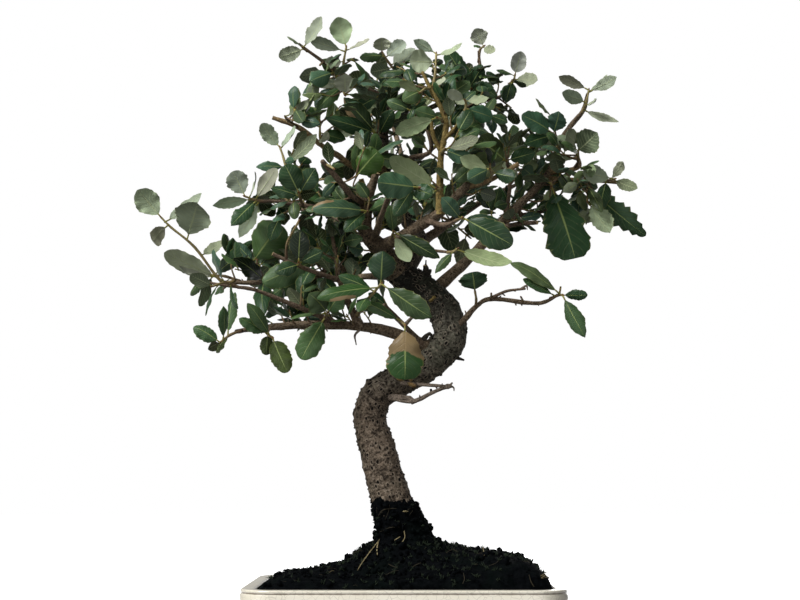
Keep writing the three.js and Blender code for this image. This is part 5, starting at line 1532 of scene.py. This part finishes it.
# Rings of the pot from under its floor, out and up over the lip and down to its floor inside: inset from
# its outline, height and how thin the glaze runs, a share that also lays a painted brown shadow line under
# the rim's top.
POT_RINGS = [
    (WALL_FOOT_INSET + 3, POT_FOOT_HEIGHT, 1.0),
    (WALL_FOOT_INSET + 0.6, POT_FOOT_HEIGHT + 0.8, 0.9),
    (WALL_FOOT_INSET - 0.6, POT_FOOT_HEIGHT + 3, 0.35),
    (LIP_OVERHANG + WALL_TAPER * 0.7, POT_FOOT_HEIGHT + 14, 0.1),
    (LIP_OVERHANG + WALL_TAPER * 0.4, POT_FOOT_HEIGHT + 28, 0.0),
    (LIP_OVERHANG + WALL_TAPER * 0.2, POT_FOOT_HEIGHT + 46, 0.0),
    (LIP_OVERHANG + 1.2, LIP_UNDERSIDE - 4, 0.1),
    (LIP_OVERHANG + 0.8, LIP_UNDERSIDE - 1, 0.3),
    (RIM_ROUND / 2 + 0.4, LIP_UNDERSIDE - 0.2, 0.45),
    (0.25, LIP_UNDERSIDE + 0.5, 0.4),
    (0, LIP_UNDERSIDE + RIM_ROUND, 0.2),
    (0.1, POT_HEIGHT - 4.2, 0.1),
    (0.6, POT_HEIGHT - 3.4, 0.45),
    # A painted brown shadow line in the small groove under the rim's top.
    (0.9, POT_HEIGHT - 2.6, 1.0),
    (0.5, POT_HEIGHT - 1.8, 0.5),
    (0.5, POT_HEIGHT - 0.8, 0.0),
    (1.2, POT_HEIGHT - 0.15, 0.0),
    (RIM_ROUND + 0.5, POT_HEIGHT, 0.0),
    (RIM_WIDTH - RIM_ROUND - 0.5, POT_HEIGHT, 0.0),
    (RIM_WIDTH - 0.6, POT_HEIGHT - 0.5, 0.2),
    (RIM_WIDTH, POT_HEIGHT - RIM_ROUND, 0.3),
    (RIM_WIDTH, LIP_UNDERSIDE - 6, 0.2),
    (RIM_WIDTH + WALL_TAPER, POT_FLOOR_TOP, 0.2),
]
# The same for a low foot with rounded corners and a worn lower edge, inset from its own outline.
FOOT_RINGS = [(-1.2, POT_FOOT_HEIGHT + 1.5, 0.4), (0, POT_FOOT_HEIGHT - 0.5, 0.2), (0, 1, 0.8), (0.9, 0, 1.0)]


def add_rings(shell, rings, points, sides, downward=False):
    """Closes a body over its rings, which run upward or downward. The glaze is thin on its edges, and the
    same share lays the painted shadow line under the rim's top.
    """
    thin = np.repeat([share for _, _, share in rings], sides)[:, None]
    faces = ring_faces(len(rings), sides)
    if downward:
        faces = [tuple(reversed(face)) for face in faces]
    shell.add(np.concatenate(points), faces, 0, thin_glaze=thin)


def add_pot():
    """Outer wall, lip, rim, inner wall and floors as one shell, and four feet."""
    shell = Gathered()
    add_rings(shell, POT_RINGS, [pot_ring(inset, z) for inset, z, _ in POT_RINGS], 4 * POT_CORNER_STEPS)
    for side_x in (-1, 1):
        for side_y in (-1, 1):
            middle = (
                side_x * (POT_LENGTH / 2 - FOOT_INSET - POT_CORNER / 2 - FOOT_LENGTH / 2),
                side_y * (POT_WIDTH / 2 - FOOT_INSET - FOOT_WIDTH / 2),
            )
            points = [
                rounded_ring(middle, FOOT_LENGTH / 2 - FOOT_CORNER, FOOT_WIDTH / 2 - FOOT_CORNER,
                             FOOT_CORNER - inset, z, FOOT_CORNER_STEPS)
                for inset, z, _ in FOOT_RINGS
            ]
            add_rings(shell, FOOT_RINGS, points, 4 * FOOT_CORNER_STEPS, downward=True)
    piece = shell.piece("glazed_pot", [made_finish("ivory_crackle_glaze", crackle_glaze)], "glazed_pot")
    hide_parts("pot")


# Soil.
def wet_peat(add):
    """Wet peat and loam: nearly black, matt, with brown crumbs and a green cast where moss takes hold."""
    here = add("TexCoord", (), "Object")
    clod = add("TexNoise", {"Vector": here, "Scale": per_mm(4), "Detail": 6.0, "Roughness": 0.7})
    crumb_share = add("MapRange", [clod, 0.38, 0.7, 0.0, 1.0])
    damp = add("TexNoise", {"Vector": here, "Scale": per_mm(22), "Detail": 3.0})
    moss_share = add("MapRange", [damp, 0.5, 0.7, 0.0, 0.6])
    colour = linear("#020304")
    for share, over in ((crumb_share, "#0f1113"), (moss_share, "#0a100e")):
        colour = add("Mix", {"Factor": share, FIRST: colour, SECOND: linear(over)}, MIXED, data_type="RGBA")
    bump = add("Bump", {"Strength": 1.0, "Distance": 0.9 * MM, "Height": clod})
    return {"Base Color": colour, "Roughness": 0.95, "Specular IOR Level": 0.02, "Normal": bump}


def patchy(add, patch_mm, dark, pale, specular):
    """A matt growth with no pattern of its own, bleached pale in patches and darker between them."""
    here = add("TexCoord", (), "Object")
    patch = add("TexNoise", {"Vector": here, "Scale": per_mm(patch_mm), "Detail": 3.0})
    tone = add("Mix", {"Factor": patch, FIRST: linear(dark), SECOND: linear(pale)}, MIXED, data_type="RGBA")
    return {"Base Color": tone, "Roughness": 0.8, "Specular IOR Level": specular}


NET_STRAND = 12.57


def moulded_net(add):
    """Black polythene net over the drain holes, moulded with square holes. Its strands are drawn wider
    apart than real ones, so that they show."""
    here = add("TexCoord", (), "Object")
    scale = per_mm(NET_STRAND) * WAVE_BAND
    strands = [
        add("TexWave", {"Vector": here, "Scale": scale}, "Fac", bands_direction=direction)
        for direction in ("X", "Y")
    ]
    raised = add("Math", strands, operation="MAXIMUM")
    tone = add("Mix", {"Factor": raised, FIRST: linear("#0d0d0d"), SECOND: linear("#2a2b2b")}, MIXED,
               data_type="RGBA")
    bump = add("Bump", {"Strength": 0.7, "Distance": 0.4 * MM, "Height": raised})
    return {"Base Color": tone, "Roughness": 0.45, "Specular IOR Level": 0.4, "Normal": bump}


peat = made_finish("moist_peat", wet_peat)
# Short moss, dry at its tips, and dry root hair and straw, bleached in places.
moss_leaf = made_finish("dark_moss_leaves", patchy, 9, "#0b120e", "#343f2e", 0.15)
dry_straw = made_finish("dry_straw", patchy, 3, "#5e5238", "#a89a72", 0.2)
dark_root = made_finish("dark_root_hair", patchy, 3, "#15130e", "#3b3526", 0.2)
net = made_finish("black_polythene_net", moulded_net)

TRUNK_FOOT = place((0, 108, 0))

# The mound from the pot's wall up to the collar at the trunk: share of the spread, height, and how much
# higher it lies at the right end.
MOUND_SHARES = [1.0, 0.95, 0.82, 0.62, 0.4, 0.18, 0.0]
MOUND_HEIGHTS = [77.5, 80, 84, 86, 89.5, 97.5, 109.4]
MOUND_RIGHT_RISES = [1, 8, 13, 15, 15, 9, 0]
# The collar of soil that clings to the trunk: radius, height and how far it leans across with the trunk.
COLLAR_HEIGHTS = [109.4, 114, 119, 130, 138, 142]
COLLAR_RADII = [23.5, 21, 19.3, 17.6, 16.9, 16.2]
COLLAR_LEANS = [2, 1.2, 0.5, -2.8, -5.4, -6.5]
# It swells out on the right, where more soil was heaped.
COLLAR_SWELLS = [5, 4.2, 4, 3.6, 1, 0]


def pot_edge(angle):
    """Where a line from the pot's middle at an angle meets the inner wall."""
    ring = pot_ring(RIM_WIDTH + SOIL_GAP, 0)
    angles = np.unwrap(np.arctan2(ring[:, 1], ring[:, 0]))
    angle = (angle - angles[0]) % (2 * math.pi) + angles[0]
    closed = np.concatenate([angles, [angles[0] + 2 * math.pi]])
    # Straight between two corners of the outline.
    index = min(np.searchsorted(closed, angle, side="right") - 1, len(ring) - 1)
    a, b = ring[index], ring[(index + 1) % len(ring)]
    heading = heading_at(angle)
    edge = b[:2] - a[:2]
    cross = heading[0] * edge[1] - heading[1] * edge[0]
    return heading * ((a[0] * edge[1] - a[1] * edge[0]) / cross)


def mound_spot(angle, share):
    """A spot of the mound: at the pot's wall where share is 1, at the collar's foot where it is 0."""
    edge = pot_edge(angle)
    heading = heading_at(angle)
    foot_radius = COLLAR_RADII[0] + COLLAR_SWELLS[0] * max(0, heading[0])
    radius = foot_radius + (COLLAR_FOOT_RADIUS + MOUND_SPREAD - foot_radius) * share
    round_spot = np.array([TRUNK_FOOT[0], 0, 0]) + radius * heading
    spot = round_spot * (1 - share**2) + edge * share**2
    height = np.interp(-share, [-s for s in MOUND_SHARES], MOUND_HEIGHTS)
    rise = np.interp(-share, [-s for s in MOUND_SHARES], MOUND_RIGHT_RISES)
    spot[2] = height + rise * max(0, edge[0] / (POT_LENGTH / 2))
    return spot


def collar_spot(angle, z):
    """A spot on the soil that clings to the trunk."""
    heading = heading_at(angle)
    radius = np.interp(z, COLLAR_HEIGHTS, COLLAR_RADII)
    radius += np.interp(z, COLLAR_HEIGHTS, COLLAR_SWELLS) * max(0, heading[0])
    lean = np.interp(z, COLLAR_HEIGHTS, COLLAR_LEANS)
    return np.array([TRUNK_FOOT[0] + lean, 0, z]) + heading * radius


def soil_lump(spot):
    """How far the surface swells at a spot, in millimetres."""
    coarse = noise.noise(Vector(spot) / 16)
    middle = noise.noise(Vector(spot) / 6 + Vector((9, 4, 2)))
    fine = noise.noise(Vector(spot) / 2.6 + Vector((3, 8, 5)))
    return 1.9 * coarse + 1.9 * middle + 1.3 * fine


SOIL_SIDES = 220
MOUND_ROWS = 50
COLLAR_ROWS = 34
COLLAR_TOP_WANDER = 3.4


def soil_rings():
    """The soil's rings from the pot's floor to the collar's ragged top."""
    angles = np.linspace(0, 2 * math.pi, SOIL_SIDES, endpoint=False)
    wall = []
    for inset, z in (
        (RIM_WIDTH + WALL_TAPER + SOIL_GAP, POT_FLOOR_TOP + SOIL_GAP),
        (RIM_WIDTH + SOIL_GAP, LIP_UNDERSIDE - 6),
        (RIM_WIDTH + SOIL_GAP, SOIL_EDGE),
    ):
        scale = (POT_LENGTH / 2 - inset) / (POT_LENGTH / 2 - RIM_WIDTH - SOIL_GAP)
        wall.append([pot_edge(angle) * scale + (0, 0, z) for angle in angles])
    mound = []
    for row in range(MOUND_ROWS):
        share = 1 - row / MOUND_ROWS
        ring = [mound_spot(angle, share) for angle in angles]
        fade = min(1, 3 * (1 - share) + 0.3)
        mound.append([spot + (0, 0, fade * soil_lump(spot)) for spot in ring])
    collar = []
    for row in range(COLLAR_ROWS):
        share = row / (COLLAR_ROWS - 1)
        ring = []
        for angle in angles:
            heading = heading_at(angle)
            # Its top edge wanders up and down round the trunk.
            wander = noise.noise(Vector((3 * heading[0], 3 * heading[1], 2.7)))
            wander += 0.6 * noise.noise(Vector((9 * heading[0], 9 * heading[1], 5.1)))
            z = COLLAR_HEIGHTS[0] + (COLLAR_HEIGHTS[-1] - COLLAR_HEIGHTS[0]) * share
            spot = collar_spot(angle, z) + UP * COLLAR_TOP_WANDER * wander * share**2
            swell = max(-0.4, 0.8 * soil_lump(spot)) * (1 - 0.6 * share**4)
            ring.append(spot + heading * swell)
        collar.append(ring)
    inside = np.array(collar[-1])
    middle = inside.mean(axis=0)
    inside = middle + (inside - middle) * 0.6
    return np.array(wall + mound + collar + [inside.tolist()])


def add_soil():
    rings = soil_rings()
    points = rings.reshape(-1, 3)
    faces = ring_faces(len(rings), SOIL_SIDES)
    soil = Gathered()
    soil.add(points, faces, 0)
    piece = soil.piece("soil_mound", [peat], "peat_soil")
    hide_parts("soil")
    return BVHTree.FromPolygons(points.tolist(), faces), rings


# Crumbs, moss, root hairs and straws on the soil.
CRUMBS = 1500
MOSS_TUFTS = 620
LOOSE_FIBRES = 70
CORNER_STRAWS = 9
STRAW_CORNER = (104, 74, -58)
STRAW_STATIONS = 5
FIBRE_STATIONS = 9
LOOSE_FIBRE_STATIONS = 7
GROUND_SEED = 9
# Rings of the soil that stand against the pot's wall, below the mound.
WALL_RINGS = 3


CRUMB_CORNERS = 12
# Two neighbouring corners of an even crumb lie nearer than this, as a share of its radius.
NEIGHBOURS = 1.2


def crumb_shape():
    """Corners and faces of a small lump with twelve corners, before it is made uneven."""
    golden = (1 + math.sqrt(5)) / 2
    corners = []
    for a in (-1, 1):
        for b in (-golden, golden):
            corners += [(0, a, b), (a, b, 0), (b, 0, a)]
    corners = np.array(corners) / math.hypot(1, golden)
    faces = []
    for first in range(CRUMB_CORNERS):
        for second in range(first + 1, CRUMB_CORNERS):
            for third in range(second + 1, CRUMB_CORNERS):
                a, b, c = corners[first], corners[second], corners[third]
                longest = max(np.linalg.norm(a - b), np.linalg.norm(b - c), np.linalg.norm(c - a))
                if longest < NEIGHBOURS:
                    outward = np.cross(b - a, c - a).dot(a) > 0
                    faces.append((first, second, third) if outward else (first, third, second))
    return corners, faces


def soil_spot(rings, chance, collar_share=0.2):
    """A spot on the soil's surface and the way it faces."""
    if chance.random() < collar_share:
        row = WALL_RINGS + MOUND_ROWS + int(chance.random() * (COLLAR_ROWS - 3))
    else:
        row = WALL_RINGS + 2 + int(chance.random() ** 0.8 * (MOUND_ROWS - 2))
    side = chance.integers(SOIL_SIDES)
    here = rings[row, side]
    along = rings[row, (side + 1) % SOIL_SIDES] - here
    inward = rings[row + 1, side] - here
    return here, unit(np.cross(along, inward))


def add_crumbs(rings, chance):
    corners, faces = crumb_shape()
    crumbs = Gathered()
    for crumb in range(CRUMBS):
        spot, outward = soil_spot(rings, chance)
        size = chance.uniform(0.5, 1.3) if chance.random() < 0.8 else chance.uniform(1.3, 3.0)
        uneven = corners * chance.uniform(0.7, 1.3, (CRUMB_CORNERS, 1)) * chance.uniform(0.6, 1.2, 3) * size
        crumbs.add(spot + outward * 0.45 * size + uneven, faces, 0)
    crumbs.piece("soil_crumbs", [peat], "peat_soil")


def add_moss(rings, chance):
    """Tufts of short pointed moss leaves, more of them on the right."""
    moss = Gathered()
    for tuft in range(MOSS_TUFTS):
        spot, outward = soil_spot(rings, chance, 0.08)
        if spot[0] < 20 and chance.random() < 0.6:
            continue
        for blade in range(chance.integers(5, 10)):
            lean = unit(outward + chance.normal(0, 0.55, 3))
            start = spot + chance.normal(0, 0.7, 3) * (1, 1, 0.2)
            run = start + np.array([-0.4, 0.5, 1.0])[:, None] * chance.uniform(1.4, 3.8) * lean
            add_tube(moss, run, np.array([0.3, 0.26, 0.05]), 3, 0)
    moss.piece("moss_tufts", [moss_leaf], "peat_soil")


def soil_hit(surface, across, up):
    """The spot of the soil that the photograph shows at a drawn spot, and the way it faces."""
    aim = place((across, up, 0)) - EYE
    spot, outward, _, _ = surface.ray_cast(Vector(EYE), Vector(aim).normalized())
    return np.array(spot), np.array(outward)


# Straws and roots that show, each with its spots (across, up), its thickness and whether it is pale.
SHOWN_FIBRES = [
    ([(-33.5, 82), (-30, 88), (-25, 95.5), (-20, 101), (-15.5, 107.5)], 0.34, True),
    ([(-17.5, 95), (-17, 100), (-16.8, 105)], 0.4, True),
    ([(-16.5, 127), (-12, 132.5), (-3, 133)], 0.3, False),
    ([(-14.5, 114), (-8, 118), (-1, 118)], 0.3, False),
    ([(1.6, 105), (4, 109), (3, 115)], 0.3, True),
    ([(-4, 107), (-1, 109), (0.5, 110)], 0.28, True),
    ([(2, 130.5), (5, 130)], 0.6, True),
    ([(11, 85), (15, 87.5), (17, 88.2)], 0.3, False),
    ([(103, 79), (104.5, 74), (107, 70)], 0.3, False),
    ([(66, 101), (67, 98), (66.8, 94)], 0.25, True),
    ([(37, 96), (42, 99), (47, 97)], 0.22, False),
    ([(72, 86), (78, 89), (81, 94)], 0.22, False),
    ([(-9, 87), (-5, 85), (-2, 84)], 0.3, False),
    ([(-12, 78), (-6, 81), (-1, 82)], 0.25, False),
    ([(50, 80), (51.5, 76), (50, 72.5)], 0.25, False),
]


def add_fibres(surface, rings, chance):
    fibres = Gathered()
    for route, radius, pale in SHOWN_FIBRES:
        spots = []
        for across, up in route:
            spot, outward = soil_hit(surface, across, up)
            spots.append(spot + outward * (radius + 1.5))
        shares = np.linspace(0, 1, FIBRE_STATIONS)
        points = curve_points(spots, shares)
        widths = radius * (0.7 + 0.6 * np.sin(math.pi * shares))
        add_tube(fibres, points, widths, 6, 0 if pale else 1)
    for fibre in range(LOOSE_FIBRES):
        spot, outward = soil_spot(rings, chance, 0.25)
        heading = square_to(chance.normal(0, 1, 3), outward)
        reach = chance.uniform(3, 11)
        lift = chance.uniform(0.3, 1.6)
        spots = [spot, spot + heading * reach / 2 + outward * lift,
                 spot + heading * reach + chance.normal(0, 0.15, 3) * reach]
        points = curve_points(spots, np.linspace(0, 1, LOOSE_FIBRE_STATIONS))
        widths = np.full(LOOSE_FIBRE_STATIONS, chance.uniform(0.12, 0.24))
        add_tube(fibres, points, widths, 5, 0 if chance.random() < 0.12 else 1)
    fibres.piece("root_fibres", [dry_straw, dark_root], "peat_soil")


def corner_straws(chance):
    """Dry grass that stands up at the right front corner of the soil."""
    straws = Gathered()
    start = place(STRAW_CORNER)
    for blade in range(CORNER_STRAWS):
        lean = unit(np.array([chance.uniform(0.5, 1.2), -0.1, chance.uniform(0.3, 0.9)]))
        reach = chance.uniform(6, 12)
        run = start + chance.normal(0, 1.0, 3) + np.linspace(-0.3, 1, STRAW_STATIONS)[:, None] * reach * lean
        run[:, 0] += 0.3 * np.linspace(0, 1, STRAW_STATIONS) ** 2 * reach
        add_tube(straws, run, np.linspace(0.3, 0.1, STRAW_STATIONS), 4, 0 if blade % 3 else 1)
    straws.piece("corner_straws", [dry_straw, dark_root], "peat_soil")


def add_ground():
    surface, rings = add_soil()
    chance = np.random.default_rng(GROUND_SEED)
    add_crumbs(rings, chance)
    add_moss(rings, chance)
    add_fibres(surface, rings, chance)
    corner_straws(chance)


add_pot()
add_ground()
for side in ("left", "right"):
    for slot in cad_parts[f"drain_mesh_{side}"].material_slots:
        slot.material = net


# Small leafy shoots that fill the crown. They stand along the limbs and stems by a seeded rule, wherever
# a leaf has room. CROWN holds the middles and half sizes of the rounds that they stay in.
CROWN = (
    ((20, 0, 425), (118, 80, 76)),
    ((-70, 0, 350), (82, 62, 46)),
    ((105, 20, 398), (62, 62, 46)),
    ((-40, 0, 460), (58, 50, 44)),
    ((-66, -15, 292), (54, 40, 22)),
)
# Stubs and forks that no small leaf hides from the front: across, up and the reach kept free.
SHOWN_WOOD_DEPTH = 28
SHOWN_WOOD = (
    (142, 416, 8), (160, 394, 9), (116, 400, 9), (130, 420, 7), (100, 382, 9), (-12, 420, 8), (-11, 434, 7),
    (-12, 406, 8), (-2, 388, 8),
    (-22, 392, 12), (-20, 400, 9), (-46, 394, 9), (-58, 406, 8), (-42, 410, 8), (26, 436, 8), (25, 424, 8),
    (88, 404, 9), (104, 386, 9), (72, 350, 9), (137, 404, 7), (152, 396, 7), (-90, 332, 9), (-13, 420, 7),
    (-66, 425, 7), (34, 400, 8), (12, 352, 9),
)
CROWD_CELL = 3.0
SHOOT_SPACING = 6.0
STOUTEST_LEAFY_LIMB = 6.5
# The black and dark greens of these shoots are in part painted shade for the crown's inside.
SHOOT_TONES = ("plain", "dark", "mid", "dark", "plain", "black", "dark", "bluish")
# Shoots at the crown's upper left and on its right are younger and paler.
YOUNG_SHOOT_TONES = ("plain", "bluish", "light", "mid", "bluish", "pale", "plain", "light")
YOUNG_RIGHT = 92
YOUNG_LEFT = -30
YOUNG_LEFT_UP = 425
TRIES = 6
LEAVES_A_PIECE = 220
SHOOT_SEED = 77
RUN_STEPS = 12
SHOOT_STATIONS = 7
SHOOT_SIDES = 6
SHOOT_BUD = 1.6


def crowd_cells(spots):
    return {tuple(cell) for cell in np.floor(np.asarray(spots) / CROWD_CELL).astype(int).tolist()}


def leaf_cells(leaf, first_share, shares=9):
    spots = [
        leaf_spot(leaf, share, aside * leaf.width)
        for share in np.linspace(first_share, 1.0, shares)
        for aside in (-0.38, -0.2, 0.0, 0.2, 0.38)
        if abs(aside) < 0.3 or share < 0.9
    ]
    return crowd_cells(spots)


def stem_cells(points, radii):
    around = np.array([(x, y, z) for x in (-1, 0, 1) for y in (-1, 0, 1) for z in (-1, 0, 1)])
    spots = np.asarray(points)[:, None] + 0.6 * np.asarray(radii)[:, None, None] * around
    return crowd_cells(spots.reshape(-1, 3))


def in_crown(spot):
    across, behind, up = spot
    hides = any(math.hypot(across - x, up - z) < reach for x, z, reach in SHOWN_WOOD)
    if hides and behind < SHOWN_WOOD_DEPTH:
        return False
    return any(np.linalg.norm((spot - np.array(middle)) / size) < 1 for middle, size in CROWN)


def leafy_runs():
    """Limbs and stems that shoots may grow from, as points and radii."""
    runs = []
    for name, branch in BRANCHES.items():
        if name not in DRY_LIMBS and name not in CUT_LIMBS:
            runs.append(curve_run(branch.route, branch.radii, RUN_STEPS))
    for stems in SPRAYS.values():
        runs += [curve_run(stem.route, stem.radii, RUN_STEPS) for stem in stems]
    return runs


def shoot_leaf(base, direction, angle, lean, length, chance):
    """A small leaf that stands off a stem which runs in a direction."""
    along = off_stem(direction, angle, lean)
    wanted = UP * 0.6 + FRONT * 0.35 + chance.normal(0, 0.45, 3)
    face = square_to(wanted, along)
    width = length * chance.uniform(0.46, 0.66)
    young = base[0] > YOUNG_RIGHT or (base[0] < YOUNG_LEFT and base[2] > YOUNG_LEFT_UP)
    tones = YOUNG_SHOOT_TONES if young else SHOOT_TONES
    tone = tones[chance.integers(len(tones))]
    return Leaf(base, base + along * length, face, face, width, chance.uniform(0.02, 0.12),
                chance.uniform(-0.05, 0.25), tone)


def grow_shoot(start, outward, taken, chance):
    """A shoot's stem points and its leaves, or None where there is no room."""
    reach = chance.uniform(7, 24)
    bend = outward + 0.35 * UP + chance.normal(0, 0.2, 3)
    stem = [start, start + 0.5 * reach * outward, start + 0.5 * reach * outward + 0.5 * reach * unit(bend)]
    direction = unit(stem[2] - stem[1])
    if not in_crown(stem[2]) or crowd_cells(stem[2:]) & taken:
        return None
    leaves = []
    cells = set()
    count = int(2 + reach / 6)
    for rank in range(count):
        share = 0.45 + 0.55 * (rank + 1) / count
        base = curve_point(stem, share)
        length = chance.uniform(15, 26)
        for attempt in range(TRIES):
            angle = math.radians(rank * GOLDEN_ANGLE + attempt * 60) + chance.uniform(-0.3, 0.3)
            lean = math.radians(chance.uniform(25, 75))
            leaf = shoot_leaf(base, direction, angle, lean, length, chance)
            new_cells = leaf_cells(leaf, 0.35)
            if not new_cells & taken and not new_cells & cells and in_crown(leaf.tip):
                leaves.append(leaf)
                cells |= new_cells
                break
    if len(leaves) < 2:
        return None
    return stem, leaves, cells


def add_shoots():
    chance = np.random.default_rng(SHOOT_SEED)
    taken = set()
    for leaf in grown_leaves:
        taken |= leaf_cells(leaf, 0.1, 13)
    runs = leafy_runs()
    for points, radii in runs + [curve_run(TRUNK.route, TRUNK.radii, RUN_STEPS)]:
        taken |= stem_cells(points, radii)
    grown = []
    for points, radii in runs:
        along = run_lengths(points)
        sideways, upward = tube_axes(points)
        spin = chance.uniform(0, 2 * math.pi)
        for number, spot in enumerate(np.arange(0.35 * along[-1], along[-1], SHOOT_SPACING)):
            at = int(np.searchsorted(along, spot))
            if radii[at] > STOUTEST_LEAFY_LIMB:
                continue
            for attempt in range(TRIES):
                angle = spin + math.radians(number * GOLDEN_ANGLE + attempt * 60)
                outward = sideways[at] * math.cos(angle) + upward[at] * math.sin(angle)
                ahead = unit(points[min(at + 1, len(points) - 1)] - points[at - 1])
                start = points[at] + outward * 0.4 * radii[at]
                shoot = grow_shoot(start, unit(outward + 0.45 * ahead + 0.25 * UP), taken, chance)
                if shoot:
                    taken |= shoot[2]
                    grown.append(shoot)
                    break
    make_shoots(grown, chance)


def make_shoots(grown, chance):
    """Makes the shoots, a few hundred leaves to a piece."""
    gathered = Gathered()
    made = 0
    piece_number = 1
    shares = np.linspace(0, 1, SHOOT_STATIONS)
    tints = np.repeat(stem_tints(shares, ""), SHOOT_SIDES, axis=0)
    for stem, leaves, _ in grown:
        points = curve_points(stem, shares)
        widths = np.linspace(0.85, 0.5, SHOOT_STATIONS)
        add_tube(gathered, points, widths, SHOOT_SIDES, STEM_BARK, tint=tints)
        add_bud(gathered, points[-1], unit(points[-1] - points[-2]), SHOOT_BUD)
        for leaf in leaves:
            add_leaf(gathered, leaf, chance, SMALL_BLADE_ROWS)
        made += len(leaves)
        if made >= LEAVES_A_PIECE or stem is grown[-1][0]:
            gathered.piece(f"small_foliage_{piece_number}", LEAFY, "leaf")
            gathered = Gathered()
            made = 0
            piece_number += 1


add_shoots()
